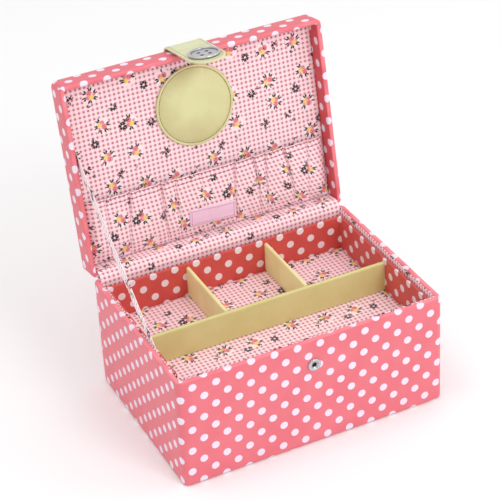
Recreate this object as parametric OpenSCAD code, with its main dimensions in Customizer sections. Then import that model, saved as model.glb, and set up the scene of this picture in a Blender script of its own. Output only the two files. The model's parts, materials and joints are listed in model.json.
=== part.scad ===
// Fabric-covered sewing box: a board base, a deep hinged lid held open by a ribbon stay, a lift-out
// tray with dividers, a gathered pocket and a pincushion in the lid, and a strap that snaps shut.
// Origin: middle of the underside. +X right, +Y towards the hinge, +Z up. Lid parts are drawn with the
// lid shut and then turned open about the hinge line.

/* [Box] */
// Width of the box, side to side
box_w = 260; // [180:1:320]
// Depth of the box, front to hinge
box_d = 186; // [165:1:230]
// Height of the base, floor to rim
base_h = 112; // [90:1:150]
// Depth of the lid, rim to top
lid_h = 26.2; // [24:0.1:40]
// Angle of the open lid
open_angle = 100; // [85:1:110]
// Radius of the upright corners
corner_r = 6; // [4.5:0.5:12]
// Radius of the edges round the top of the lid
lid_edge_r = 4.5; // [3:0.5:6]
// Gap between the two rims when the lid is shut
rim_gap = 0.4; // [0.3:0.1:1]

/* [Board and coverings] */
// Thickness of the greyboard walls
board_t = 3.4; // [2:0.1:5]
// Thickness of the coated cover sheet
cover_t = 0.8; // [0.5:0.1:1.2]
// Thickness of the printed lining on its card
lining_t = 1.2; // [0.8:0.1:2]
// Thickness of the glue between the boards and the cover
glue_t = 0.06; // [0.04:0.01:0.1]
// How far the lining stops below the rim
lining_drop = 0.5; // [0.2:0.1:2]
// How far the cover is turned in under the bottom
hem_under = 15; // [8:1:25]
// How far the cover is turned in over the base's rim
hem_inside = 18; // [10:1:19]
// How far the underside sheet stops short of the walls
underside_inset = 3; // [2:0.5:6]

/* [Hinge and stay] */
// Thickness of the outer hinge strip and the stay ribbon
hinge_cloth_t = 0.6; // [0.4:0.1:0.8]
// Air between the open lid and the cloth that lies on it
cloth_gap = 0.05; // [0.02:0.01:0.1]
// Height of the outer hinge strip on the base
spine_base = 18; // [10:1:30]
// Height of the outer hinge strip on the lid
spine_lid = 16; // [8:1:18]
// Height of the inner hinge lining on the base
hinge_lining_h = 52; // [30:1:70]
// Width of the stay ribbon
ribbon_w = 11; // [6:1:16]
// Distance of the ribbon's lower end from the hinge
ribbon_base_y = 136; // [100:1:140]
// Depth of the ribbon's lower end below the rim
ribbon_base_drop = 14; // [8:1:25]
// Distance of the ribbon's upper end from the hinge, along the lid
ribbon_lid_y = 126; // [90:1:135]

/* [Lid lining] */
// Depth of the lid's recess, rim to panel
recess = 16; // [14:0.5:18]
// Thickness of the card behind the panel
panel_card_t = 1.2; // [0.8:0.1:2]
// Thickness of the panel's fabric
panel_fabric_t = 0.8; // [0.5:0.1:1.2]
// Clearance round the panel
panel_gap = 0.2; // [0.1:0.1:0.5]
// Distance of the pocket's mouth from the hinge
pocket_top = 69; // [50:1:80]
// How far the pocket stands off the panel
pocket_depth = 8; // [6:0.5:9]
// Thickness of the pocket's cloth
pocket_t = 1; // [0.8:0.1:1.2]
// Height of the pocket's hem
pocket_hem = 6.5; // [5:0.5:9]
// Thickness of the pocket's hem
pocket_hem_t = 2.4; // [2:0.1:2.6]
// Width of the elastic in the hem
elastic_w = 4.6; // [3:0.1:6]
// Thickness of the elastic in the hem
elastic_t = 0.7; // [0.5:0.1:0.9]
// Length of the woven label
label_w = 48; // [30:1:60]
// Height of the woven label
label_h = 16.5; // [10:0.5:22]
// Thickness of the woven label
label_t = 0.5; // [0.3:0.1:0.8]
// Distance of the label's middle from the hinge
label_y = 25; // [20:1:40]
// Tilt of the label
label_tilt = 3.5; // [0:0.5:6]

/* [Pincushion] */
// Diameter of the pincushion's flange
pin_d = 77; // [50:1:90]
// Gap between the pincushion and the front wall of the lid
pin_front_gap = 11; // [4:0.5:30]
// Width of the flat flange round the dome
pin_flange = 4; // [3:0.5:6]
// Height of the dome above its flange
pin_rise = 9.5; // [6:0.5:11]
// Thickness of the pincushion's cover and of its card
pin_t = 0.8; // [0.6:0.1:1.2]

/* [Strap and snap] */
// Width of the strap
strap_w = 36; // [30:1:50]
// Length of the strap below the snap
strap_end = 21; // [19:0.5:35]
// Thickness of each of the strap's two layers
strap_layer = 1; // [0.6:0.1:1.4]
// Gap between the strap and the front of the box
strap_gap = 2.2; // [2.1:0.1:3.5]
// Length of the strap glued on top of the lid
strap_tail = 30; // [15:1:50]
// Depth of the snap below the rim
snap_drop = 26; // [25:1:40]
// Outer diameter of the snap's ring on the base
snap_d = 12.5; // [9:0.5:14]
// How far the snap's ring stands out
snap_proud = 1.6; // [1:0.1:1.8]
// Diameter of the snap's mouth
snap_mouth_d = 4.6; // [4:0.1:5.5]
// Clearance round the snap's ball in the mouth
snap_clear = 0.4; // [0.3:0.1:0.6]
// Diameter of the button on the strap
button_d = 30; // [24:1:33]
// Height of the button
button_h = 3; // [2.4:0.1:4]
// Distance between the middles of two neighbouring holes in the button
button_pitch = 7.5; // [6:0.5:9]
// Diameter of the holes in the button
button_hole_d = 3.4; // [2.5:0.1:4]

/* [Tray] */
// Thickness of the tray's walls and floor
tray_t = 3; // [2:0.1:4]
// Height of the tray's walls
tray_h = 38; // [30:1:50]
// Depth of the tray's rim below the rim of the box
tray_drop = 5; // [3:0.5:10]
// Clearance at the tray's front and sides
tray_gap = 1; // [0.8:0.1:3]
// Clearance behind the tray, beside the padded hinge lining
tray_back_gap = 3.8; // [3.5:0.1:6]
// Thickness of the lining on the tray's floor
tray_lining_t = 1; // [0.6:0.1:2]
// Thickness of the long divider
long_divider_t = 4; // [3:0.5:6]
// Thickness of the short dividers
short_divider_t = 3.5; // [2.5:0.5:6]
// Height of the dividers above the tray's lining
divider_h = 30.5; // [20:0.5:32]
// Front-to-back depth of the long front compartment
front_bay = 76.3; // [40:0.5:110]
// Width of the ledges that the tray sits on
ledge_w = 8; // [5:1:15]
// Thickness of the ledges
ledge_t = 4; // [3:0.5:8]

/* [Hidden] */
$fn = 64;
// a cutter runs past the face it cuts by this much
over = 1;
// the smallest corner radius
thin = 0.1;

rim_t = board_t + 2 * cover_t;
hinge_y = box_d / 2;
hinge_z = base_h + rim_gap / 2;
lid_z = base_h + rim_gap;
lid_top_z = lid_z + lid_h;

// base, from the floor up
sheet_t = cover_t;
hem_z = sheet_t;
board_z = hem_z + cover_t;
bottom_top = board_z + board_t;
floor_top = bottom_top + lining_t;
hole_w = box_w - 2 * rim_t;
hole_d = box_d - 2 * rim_t;
lining_top = base_h - lining_drop;
hinge_lining_z = base_h - hinge_lining_h;

// inner hinge lining: where it leaves the two walls, and how far it bulges between them
bulge = 1.6;
bulge_start = 1;
bulge_end = 0.5;

// tray
tray_w = hole_w - 2 * (lining_t + tray_gap);
tray_y0 = -hole_d / 2 + lining_t + tray_gap;
tray_y1 = hole_d / 2 - lining_t - tray_back_gap;
tray_z1 = base_h - tray_drop;
tray_z0 = tray_z1 - tray_h;
tray_floor_z = tray_z0 + tray_t;
divider_z = tray_floor_z + tray_lining_t;
bay_w = tray_w - 2 * tray_t;
long_y = tray_y0 + tray_t + front_bay;
short_y = long_y + long_divider_t;
short_len = tray_y1 - tray_t - short_y;
short_x = (bay_w + short_divider_t) / 6;

// lid
lid_top_board_z = lid_top_z - cover_t - board_t;
panel_z = lid_z + recess;
foam_z = panel_z + panel_fabric_t;
card_z = lid_top_board_z - panel_card_t;
pocket_side_gap = 2;
pocket_hinge_gap = 1;
pocket_w = hole_w - 2 * pocket_side_gap;
pocket_z = panel_z - pocket_depth - pocket_t;
pocket_y0 = hinge_y - pocket_top;
pocket_y1 = hinge_y - rim_t - lining_t - pocket_hinge_gap;
elastic_slack = 0.1;
elastic_y0 = pocket_y0 + (pocket_hem - elastic_w) / 2;

// pincushion
pin_z = panel_z - pin_t;
pin_y = box_d - rim_t - pin_front_gap - pin_d / 2;
dome_r = pin_d / 2 - pin_flange;
pin_card_inset = 0.5;
stuffing_gap = 0.2;
stuffing_side_gap = 0.5;

// strap, drawn on the front of the shut lid
strap_y = -box_d / 2 - strap_gap;
strap_t = 2 * strap_layer;
strap_axis_y = strap_y - strap_layer;
snap_z = base_h - snap_drop;
strap_tip_z = snap_z - strap_end;
strap_end_gap = 0.4;
strap_bend_steps = 8;
rivet_r = 1.2;
rivet_clear = 0.1;

// press stud: ring, tube and washer on the base, ball and flange on the strap
tube_wall = 0.4;
tube_clear = 0.2;
ring_round = 0.45;
mouth_round = 0.5;
seat_depth = 0.6;
washer_t = cover_t;
washer_r = snap_d / 2 - 1.5;
washer_hole_r = 1.5;
ball_flange_r = snap_d / 2 - 1;
ball_flange_t = 0.3;
ball_neck = 0.3;
ball_round = 0.4;
ball_end_gap = 0.4;

// button: the raised rim's width and rounding, and how deep its dish is
backing_t = 0.6;
backing_inset = 1.2;
button_rim = 2;
button_rim_round = 0.7;
button_dish_slope = 1;
button_dish = 1;

coral = [0.98, 0.47, 0.53];
deep_coral = [0.88, 0.31, 0.31];
gingham = [0.97, 0.78, 0.80];
yellow = [0.89, 0.87, 0.64];
greyboard = [0.62, 0.58, 0.53];
foam = [0.93, 0.92, 0.88];
silver = [0.78, 0.78, 0.80];
dark = [0.16, 0.15, 0.15];

// ---- shared shapes ----

// A flat rectangle with round corners, centred
module outline(w, d, r) {
    round_r = max(r, thin);
    square([w - 2 * round_r, d], center = true);
    square([w, d - 2 * round_r], center = true);
    for (sx = [-1, 1], sy = [-1, 1])
        translate([sx * (w / 2 - round_r), sy * (d / 2 - round_r)]) circle(r = round_r);
}

// A cuboid centred on x = 0 from two y and two z values
module slab(w, y0, y1, z0, z1) {
    translate([-w / 2, y0, z0]) cube([w, y1 - y0, z1 - z0]);
}

// The box's plan, pulled in all round by inset, from z0 to z1
module plan(inset, z0, z1) {
    translate([0, 0, z0]) linear_extrude(z1 - z0)
        outline(box_w - 2 * inset, box_d - 2 * inset, corner_r - inset);
}

// One wall board: side 0 front, 1 back, 2 left, 3 right
module wall_board(side, z0, z1) {
    intersection() {
        plan(cover_t + glue_t, z0, z1);
        if (side < 2)
            translate([0, (side == 0 ? -1 : 1) * (box_d / 2 - cover_t - board_t / 2), (z0 + z1) / 2])
                cube([box_w, board_t, z1 - z0], center = true);
        else
            translate([(side == 2 ? -1 : 1) * (box_w / 2 - cover_t - board_t / 2), 0, (z0 + z1) / 2])
                cube([board_t, hole_d + 2 * cover_t, z1 - z0], center = true);
    }
}

// Turns what is drawn on the shut lid to where it stands when open
module opened() {
    translate([0, hinge_y, hinge_z]) rotate([-open_angle, 0, 0])
        translate([0, -hinge_y, -hinge_z]) children();
}

// A cylinder along Y with its rear end at y, growing towards the front by len
module front_rod(y, z, r, len) {
    translate([0, y, z]) rotate([90, 0, 0]) cylinder(r = r, h = len);
}

// Where a point of the shut lid stands when open, as [y, z]
function opened_yz(y, z) = [
    hinge_y + (y - hinge_y) * cos(open_angle) + (z - hinge_z) * sin(open_angle),
    hinge_z - (y - hinge_y) * sin(open_angle) + (z - hinge_z) * cos(open_angle)
];

// ---- base ----

module snap_bore() {
    front_rod(0, snap_z, snap_mouth_d / 2 + tube_wall + tube_clear, box_d);
}

module base_front_board() {
    color(greyboard) difference() {
        wall_board(0, board_z, base_h - cover_t);
        snap_bore();
    }
}

module base_back_board() {
    color(greyboard) wall_board(1, board_z, base_h - cover_t);
}

module base_left_board() {
    color(greyboard) wall_board(2, board_z, base_h - cover_t);
}

module base_right_board() {
    color(greyboard) wall_board(3, board_z, base_h - cover_t);
}

module base_bottom_board() {
    color(greyboard)
        slab(hole_w + 2 * cover_t, -hole_d / 2 - cover_t, hole_d / 2 + cover_t, board_z, bottom_top);
}

// The printed cover: outside of the walls, over the rim, turned in inside and under the bottom
module base_outer_cover() {
    color(coral) difference() {
        plan(0, hem_z, base_h);
        plan(cover_t, board_z, base_h - cover_t - hem_inside);
        difference() {
            plan(cover_t, board_z, base_h - cover_t);
            slab(hole_w + 2 * cover_t, -hole_d / 2 - cover_t, hole_d / 2 + cover_t,
                 base_h - cover_t - hem_inside, base_h);
        }
        slab(hole_w, -hole_d / 2, hole_d / 2, board_z, base_h + over);
        slab(box_w - 2 * hem_under, -box_d / 2 + hem_under, box_d / 2 - hem_under, 0, board_z + over);
        snap_bore();
    }
}

module base_underside_sheet() {
    color(coral) plan(underside_inset, 0, sheet_t);
}

module base_wall_lining() {
    color(gingham) difference() {
        slab(hole_w, -hole_d / 2, hole_d / 2, bottom_top, lining_top);
        slab(hole_w - 2 * lining_t, -hole_d / 2 + lining_t, hole_d / 2 - lining_t,
             bottom_top - over, lining_top + over);
        slab(hole_w - 2 * lining_t, 0, box_d, hinge_lining_z, lining_top + over);
    }
}

module base_floor_lining() {
    color(gingham)
        slab(hole_w - 2 * lining_t, -hole_d / 2 + lining_t, hole_d / 2 - lining_t, bottom_top, floor_top);
}

module tray_ledge(side) {
    x = side * (hole_w / 2 - lining_t - ledge_w / 2);
    y0 = tray_y0 + tray_t;
    y1 = tray_y1 - tray_t;
    color(greyboard) translate([x, 0, 0]) slab(ledge_w, y0, y1, tray_z0 - ledge_t, tray_z0);
}

module tray_ledge_left() {
    tray_ledge(-1);
}

module tray_ledge_right() {
    tray_ledge(1);
}

// The ring on the front, its mouth and the tube that is riveted behind the board
module snap_socket() {
    mouth_r = snap_mouth_d / 2;
    tube_r = mouth_r + tube_wall;
    ring_r = snap_d / 2;
    depth = board_t + cover_t;
    color(silver) translate([0, -box_d / 2, snap_z]) rotate([90, 0, 0]) rotate_extrude() polygon([
        [0, -depth], [tube_r, -depth], [tube_r, 0], [ring_r, 0], [ring_r, snap_proud - 2 * ring_round],
        [ring_r - ring_round, snap_proud - ring_round / 2], [ring_r - 2 * ring_round, snap_proud],
        [mouth_r + mouth_round, snap_proud], [mouth_r, snap_proud - mouth_round],
        [mouth_r, -seat_depth], [0, -seat_depth]
    ]);
}

module snap_socket_washer() {
    y = -box_d / 2 + cover_t + board_t + washer_t;
    color(silver) difference() {
        front_rod(y, snap_z, washer_r, washer_t);
        front_rod(y + over, snap_z, washer_hole_r, washer_t + 2 * over);
    }
}

// ---- fabric across the hinge ----

// Printed strip outside: down the back of the base and under the back of the open lid
module hinge_spine() {
    w = box_w - 2 * corner_r;
    far = opened_yz(hinge_y + cloth_gap, hinge_z + spine_lid);
    off = opened_yz(hinge_y + cloth_gap + hinge_cloth_t, hinge_z + spine_lid);
    fold = hinge_cloth_t / tan(90 - open_angle / 2);
    corner = [hinge_y, hinge_z - cloth_gap / sin(open_angle)];
    color(coral) translate([-w / 2, 0, 0]) rotate([90, 0, 90]) linear_extrude(w) polygon([
        [hinge_y, base_h - spine_base], [hinge_y + hinge_cloth_t, base_h - spine_base],
        [hinge_y + hinge_cloth_t, hinge_z - fold], off, far, corner
    ]);
}

// Printed lining inside: up the back wall, bulging over both rims and on to the lid's back wall
module hinge_lining() {
    w = hole_w - 2 * lining_t;
    wall_y = hole_d / 2;
    lid_wall = hinge_y - rim_t - cloth_gap;
    p0 = [wall_y - lining_t, base_h - bulge_start];
    p3 = opened_yz(lid_wall - lining_t, lid_z + bulge_end);
    q0 = [wall_y, base_h];
    q3 = opened_yz(lid_wall, lid_z);
    far_in = opened_yz(lid_wall - lining_t, panel_z - cloth_gap);
    far_out = opened_yz(lid_wall, panel_z - cloth_gap);
    top = (p0 + p3) / 2 + bulge * [-1, 1];
    color(gingham) translate([-w / 2, 0, 0]) rotate([90, 0, 90]) linear_extrude(w) polygon([
        [wall_y, hinge_lining_z], [wall_y - lining_t, hinge_lining_z], p0, top, p3, far_in,
        far_out, q3, q0
    ]);
}

// Carries a point of the stay along run until it meets the open lid's panel
function to_panel(p, run) =
    let (n = [sin(open_angle), cos(open_angle)])
    p + run * (panel_z - cloth_gap - hinge_z - (p - [hinge_y, hinge_z]) * n) / (run * n);

// The stay, taut from the base's left wall to the lid's panel
module stay_ribbon() {
    x = -hole_w / 2 + lining_t + (tray_gap - hinge_cloth_t) / 2;
    low = [hinge_y - ribbon_base_y, base_h - ribbon_base_drop];
    run = opened_yz(hinge_y - ribbon_lid_y, panel_z) - low;
    across = ribbon_w / 2 * [-run[1], run[0]] / norm(run);
    color(gingham) translate([x, 0, 0]) rotate([90, 0, 90]) linear_extrude(hinge_cloth_t)
        polygon([low - across, to_panel(low - across, run), to_panel(low + across, run), low + across]);
}

// ---- lid ----

// The lid's section across a side w long, pulled in by inset: flat walls and round top corners
module lid_section(w, inset) {
    r = lid_edge_r - inset;
    z0 = lid_z + inset;
    z1 = lid_top_z - inset;
    translate([-w / 2 + inset, z0]) square([w - 2 * inset, z1 - r - z0]);
    translate([-w / 2 + inset + r, z0]) square([w - 2 * inset - 2 * r, z1 - z0]);
    for (s = [-1, 1]) translate([s * (w / 2 - inset - r), z1 - r]) circle(r = r);
}

// The shut lid's outer form, pulled in all round by inset
module lid_solid(inset) {
    intersection() {
        plan(inset, lid_z + inset, lid_top_z - inset);
        rotate([90, 0, 0]) linear_extrude(box_d, center = true) lid_section(box_w, inset);
        rotate([90, 0, 90]) linear_extrude(box_w, center = true) lid_section(box_d, inset);
    }
}

module lid_top_board() {
    color(greyboard) opened() intersection() {
        plan(cover_t, lid_top_board_z, lid_top_z - cover_t);
        lid_solid(cover_t + glue_t);
    }
}

module lid_wall_board(side) {
    color(greyboard) opened() intersection() {
        wall_board(side, lid_z + cover_t, lid_top_board_z);
        lid_solid(cover_t + glue_t);
    }
}

module lid_front_board() {
    lid_wall_board(0);
}

module lid_back_board() {
    lid_wall_board(1);
}

module lid_left_board() {
    lid_wall_board(2);
}

module lid_right_board() {
    lid_wall_board(3);
}

// The printed cover: over the top, down the walls, over the rim and up inside to the panel
module lid_outer_cover() {
    color(coral) opened() difference() {
        lid_solid(0);
        difference() {
            lid_solid(cover_t);
            slab(hole_w + 2 * cover_t, -hole_d / 2 - cover_t, hole_d / 2 + cover_t,
                 lid_z, lid_top_board_z);
        }
        slab(hole_w, -hole_d / 2, hole_d / 2, lid_z - over, lid_top_board_z);
    }
}

module panel_layer(z0, z1) {
    opened() slab(hole_w - 2 * panel_gap, -hole_d / 2 + panel_gap, hole_d / 2 - panel_gap, z0, z1);
}

module lid_panel_card() {
    color(greyboard) panel_layer(card_z, lid_top_board_z);
}

module lid_panel_foam() {
    color(foam) panel_layer(foam_z, card_z);
}

module lid_panel_fabric() {
    color(gingham) panel_layer(panel_z, foam_z);
}

// Pocket: a sheet standing off the panel, closed at both sides and at the hinge, open at its hem
module lid_pocket() {
    hem_z0 = pocket_z + pocket_t / 2 - pocket_hem_t / 2;
    mid_z = pocket_z + pocket_t / 2;
    side_x = pocket_w / 2 - pocket_t / 2;
    color(gingham) opened() difference() {
        union() {
            slab(pocket_w, pocket_y0, pocket_y1, pocket_z, pocket_z + pocket_t);
            slab(pocket_w, pocket_y0, pocket_y0 + pocket_hem, hem_z0, hem_z0 + pocket_hem_t);
            slab(pocket_w, pocket_y1 - pocket_t, pocket_y1, pocket_z, panel_z);
            for (s = [-1, 1])
                translate([s * side_x, 0, 0]) slab(pocket_t, pocket_y0, pocket_y1, pocket_z, panel_z);
        }
        slab(box_w, elastic_y0 - elastic_slack, elastic_y0 + elastic_w + elastic_slack,
             mid_z - elastic_t / 2 - elastic_slack, mid_z + elastic_t / 2 + elastic_slack);
    }
}

module pocket_elastic() {
    mid_z = pocket_z + pocket_t / 2;
    color(foam) opened()
        slab(pocket_w - 2 * pocket_t, elastic_y0, elastic_y0 + elastic_w,
             mid_z - elastic_t / 2, mid_z + elastic_t / 2);
}

module pocket_label() {
    color([0.95, 0.80, 0.88]) opened() translate([0, hinge_y - label_y, pocket_z - label_t])
        rotate([0, 0, label_tilt]) translate([-label_w / 2, -label_h / 2, 0])
        cube([label_w, label_h, label_t]);
}

// ---- pincushion ----

// A spherical cap's profile from the rim to the pole, for a base radius and a rise
function cap_profile(r, rise, steps = 12) =
    let (ball = (r * r + rise * rise) / (2 * rise), full = asin(r / ball))
    [for (k = [0 : steps]) let (a = full * (1 - k / steps)) [ball * sin(a), rise - ball * (1 - cos(a))]];

module on_panel() {
    opened() translate([0, hinge_y - pin_y, pin_z]) rotate([180, 0, 0]) children();
}

module pincushion_base() {
    color(greyboard) on_panel() translate([0, 0, -pin_t]) cylinder(r = pin_d / 2 - pin_card_inset, h = pin_t);
}

module pincushion_cover() {
    inner = cap_profile(dome_r - pin_t, pin_rise - pin_t);
    outer = cap_profile(dome_r, pin_rise);
    back = [for (k = [len(inner) - 1 : -1 : 0]) inner[k]];
    color(yellow) on_panel() rotate_extrude(convexity = 4) polygon(concat(
        [[dome_r - pin_t, 0], [pin_d / 2, 0], [pin_d / 2, pin_t], [dome_r + thin, pin_t]],
        [for (p = outer) if (p[1] > pin_t) p], [for (p = back) if (p[1] > 0) p]
    ));
}

module pincushion_stuffing() {
    profile = cap_profile(dome_r - pin_t - stuffing_side_gap, pin_rise - pin_t - stuffing_gap);
    color(foam) on_panel() rotate_extrude()
        polygon(concat([[0, 0]], [for (p = profile) [max(p[0], 0), p[1]]]));
}

// ---- strap ----

// The fixed end: along the top of the lid, round its front edge and down to the rim
module strap_anchor() {
    bend_r = lid_edge_r + strap_gap;
    y_in = strap_y;
    z_in = lid_top_z;
    cy = y_in + bend_r;
    cz = z_in - bend_r;
    z_low = hinge_z + strap_layer + strap_end_gap;
    arc = [for (k = [0 : strap_bend_steps]) 90 + k * 90 / strap_bend_steps];
    color(yellow) opened() translate([-strap_w / 2, 0, 0]) rotate([90, 0, 90]) linear_extrude(strap_w)
        polygon(concat(
            [[cy + strap_tail, z_in], [cy + strap_tail, z_in + strap_t]],
            [for (a = arc) [cy + (bend_r + strap_t) * cos(a), cz + (bend_r + strap_t) * sin(a)]],
            [[y_in - strap_t, z_low], [y_in, z_low]],
            [for (k = [strap_bend_steps : -1 : 0]) [cy + bend_r * cos(arc[k]), cz + bend_r * sin(arc[k])]]
        ));
}

// The flap's outline, from the rim line down to its round tip
module flap_outline() {
    r = strap_w / 2;
    translate([-r, strap_tip_z + r]) square([strap_w, hinge_z - strap_tip_z - r]);
    translate([0, strap_tip_z + r]) circle(r = r);
}

// One layer of the flap, from y towards the front, with a bore for the rivet
module flap_layer(y) {
    difference() {
        translate([0, y, 0]) rotate([90, 0, 0]) linear_extrude(strap_layer) flap_outline();
        front_rod(0, snap_z, rivet_r + rivet_clear, box_d);
    }
}

module strap_outer() {
    color(yellow) opened() union() {
        flap_layer(strap_y - strap_layer);
        intersection() {
            translate([-strap_w / 2, strap_axis_y, hinge_z]) rotate([0, 90, 0])
                cylinder(r = strap_layer, h = strap_w);
            translate([-strap_w, strap_axis_y - strap_t, hinge_z]) cube([2 * strap_w, strap_t, strap_t]);
        }
    }
}

module strap_lining() {
    color(yellow) opened() union() {
        flap_layer(strap_y);
        intersection() {
            translate([-strap_w / 2, strap_axis_y, hinge_z]) rotate([0, 90, 0])
                cylinder(r = strap_layer, h = strap_w);
            translate([-strap_w, strap_axis_y, hinge_z]) cube([2 * strap_w, strap_t, strap_t]);
        }
    }
}

// Dished metal button with a raised rim and four holes
module button_cap() {
    r = button_d / 2;
    height = button_h - backing_t;
    y = strap_y - strap_t - backing_t;
    color(silver) opened() difference() {
        translate([0, y, snap_z]) rotate([90, 0, 0]) rotate_extrude() polygon([
            [0, 0], [r - button_rim_round, 0], [r, button_rim_round],
            [r, height - button_rim_round], [r - button_rim_round, height], [r - button_rim, height],
            [r - button_rim - button_dish_slope, height - button_dish], [0, height - button_dish]
        ]);
        for (sx = [-1, 1], sz = [-1, 1])
            translate([sx * button_pitch / 2, 0, sz * button_pitch / 2])
                front_rod(0, snap_z, button_hole_d / 2, box_d);
    }
}

module button_backing() {
    color(dark) opened() front_rod(strap_y - strap_t, snap_z, button_d / 2 - backing_inset, backing_t);
}

// Ball that presses into the ring on the base, with its flange and the rivet through the strap
module snap_ball() {
    ball_r = snap_mouth_d / 2 - snap_clear;
    reach = strap_gap - ball_end_gap;
    color(silver) opened() translate([0, strap_y, snap_z]) rotate([-90, 0, 0]) rotate_extrude() polygon([
        [0, -strap_t], [rivet_r, -strap_t], [rivet_r, 0], [ball_flange_r, 0],
        [ball_flange_r, ball_flange_t], [ball_r - ball_neck, ball_flange_t],
        [ball_r - ball_neck, reach - 2.5 * ball_round], [ball_r, reach - 2 * ball_round],
        [ball_r, reach - ball_round], [ball_r - ball_round, reach], [0, reach]
    ]);
}

// ---- tray ----

module tray_front_wall() {
    color(deep_coral) slab(tray_w, tray_y0, tray_y0 + tray_t, tray_z0, tray_z1);
}

module tray_back_wall() {
    color(deep_coral) slab(tray_w, tray_y1 - tray_t, tray_y1, tray_z0, tray_z1);
}

module tray_side_wall(side) {
    color(deep_coral) translate([side * (tray_w - tray_t) / 2, 0, 0])
        slab(tray_t, tray_y0 + tray_t, tray_y1 - tray_t, tray_z0, tray_z1);
}

module tray_left_wall() {
    tray_side_wall(-1);
}

module tray_right_wall() {
    tray_side_wall(1);
}

module tray_floor_board() {
    color(greyboard) slab(bay_w, tray_y0 + tray_t, tray_y1 - tray_t, tray_z0, tray_floor_z);
}

module tray_floor_lining() {
    color(gingham) slab(bay_w, tray_y0 + tray_t, tray_y1 - tray_t, tray_floor_z, divider_z);
}

module long_divider() {
    color(yellow) slab(bay_w, long_y, short_y, divider_z, divider_z + divider_h);
}

module short_divider(side) {
    color(yellow) translate([side * short_x, 0, 0])
        slab(short_divider_t, short_y, short_y + short_len, divider_z, divider_z + divider_h);
}

module short_divider_left() {
    short_divider(-1);
}

module short_divider_right() {
    short_divider(1);
}

base_front_board();
base_back_board();
base_left_board();
base_right_board();
base_bottom_board();
base_outer_cover();
base_underside_sheet();
base_wall_lining();
base_floor_lining();
tray_ledge_left();
tray_ledge_right();
snap_socket();
snap_socket_washer();
hinge_spine();
hinge_lining();
stay_ribbon();
lid_top_board();
lid_front_board();
lid_back_board();
lid_left_board();
lid_right_board();
lid_outer_cover();
lid_panel_card();
lid_panel_foam();
lid_panel_fabric();
lid_pocket();
pocket_elastic();
pocket_label();
pincushion_base();
pincushion_cover();
pincushion_stuffing();
strap_anchor();
strap_outer();
strap_lining();
button_cap();
button_backing();
snap_ball();
tray_front_wall();
tray_back_wall();
tray_left_wall();
tray_right_wall();
tray_floor_board();
tray_floor_lining();
long_divider();
short_divider_left();
short_divider_right();
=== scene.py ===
"""Fabric-covered sewing box: its covers, linings, pocket, pincushion, strap, tray and finishes."""
import json
import math

import bmesh
import bpy
from bpy.props import FloatProperty, FloatVectorProperty, IntProperty, PointerProperty
from mathutils import Matrix, Vector, noise


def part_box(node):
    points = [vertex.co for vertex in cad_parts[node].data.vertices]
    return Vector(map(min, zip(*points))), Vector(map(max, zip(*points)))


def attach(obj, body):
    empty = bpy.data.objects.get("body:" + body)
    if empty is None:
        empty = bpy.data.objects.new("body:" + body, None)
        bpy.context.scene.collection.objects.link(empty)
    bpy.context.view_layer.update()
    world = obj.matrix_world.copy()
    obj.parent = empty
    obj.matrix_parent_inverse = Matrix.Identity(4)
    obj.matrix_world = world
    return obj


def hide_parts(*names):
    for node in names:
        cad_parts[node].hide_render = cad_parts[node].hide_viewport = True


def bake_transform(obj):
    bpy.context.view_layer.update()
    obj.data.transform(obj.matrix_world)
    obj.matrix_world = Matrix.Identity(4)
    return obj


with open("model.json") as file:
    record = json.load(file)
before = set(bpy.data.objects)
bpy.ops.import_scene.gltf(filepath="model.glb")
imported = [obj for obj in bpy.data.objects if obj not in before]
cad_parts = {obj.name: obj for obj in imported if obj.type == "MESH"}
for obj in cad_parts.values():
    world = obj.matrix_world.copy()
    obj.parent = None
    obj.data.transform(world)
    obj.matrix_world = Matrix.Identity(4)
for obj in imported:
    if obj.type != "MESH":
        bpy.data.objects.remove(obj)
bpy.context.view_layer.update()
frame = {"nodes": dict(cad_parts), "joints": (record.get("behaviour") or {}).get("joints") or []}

bl_info = {
    "name": "Sewing box",
    "version": (1, 0, 0),
    "blender": (4, 5, 0),
    "location": "View3D > Sidebar > Sewing box",
    "description": "Covers, lines and finishes the sewing box round its CAD frame",
    "category": "Add Mesh",
}

MM = 0.001
MATH = "ShaderNodeMath"
VECTOR = "ShaderNodeVectorMath"
BUMP = "ShaderNodeBump"
NOISE = "ShaderNodeTexNoise"
RANGE = "ShaderNodeMapRange"
MIX = "ShaderNodeMix"
POSY_TINTS = {"Halo": "#FDE6EA", "Leaf": "#0A1319", "Coral": "#DD5564", "Yellow": "#F0CE3C"}
# seed, size, reach of the leaves in mm, offset, and the parts shown: posies, then sprigs, then buds
POSY_LAYERS = (
    (3.0, 1.06, 5.7, 0.0, ("Halo", "Leaf", "Coral", "Yellow")),
    (11.0, 0.9, 2.9, 0.017, ("Leaf",)),
    (23.0, 0.42, 2.6, 0.009, ("Leaf",)),
)
RUBBED = "#FF9AA2"
# deeper coral for painted shade: deep inside the lid, and a little on its outside
PAINTED_SHADE_CORAL = "#CB3A3E"
# near black for the button's tarnish and painted shade
TARNISH_AND_SHADE = "#2B2929"
THREAD_SIDES, THREAD_RINGS = 8, 5
STRAP_SEAM = 2.6 * MM
NOISE_SEED = 5
SIDES = (Vector((-1, 0)), Vector((0, -1)), Vector((1, 0)), Vector((0, 1)))


# ---- colours and nodes ----

def linear(code):
    """A hex sRGB colour as linear red, green, blue and a full alpha."""
    values = [int(code[k:k + 2], 16) / 255 for k in (1, 3, 5)]
    return [v / 12.92 if v <= 0.04045 else ((v + 0.055) / 1.055) ** 2.4 for v in values] + [1.0]


def add(tree, kind, inputs=None, **settings):
    """Adds a node with its settings. An input is a value, a socket, or a node whose first output is meant."""
    node = tree.nodes.new(kind)
    for key, value in settings.items():
        setattr(node, key, value)
    for key, value in (inputs or {}).items():
        socket = node.inputs[key]
        if isinstance(value, bpy.types.Node):
            value = value.outputs[0]
        if isinstance(value, bpy.types.NodeSocket):
            tree.links.new(value, socket)
        else:
            socket.default_value = value
    return node


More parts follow.
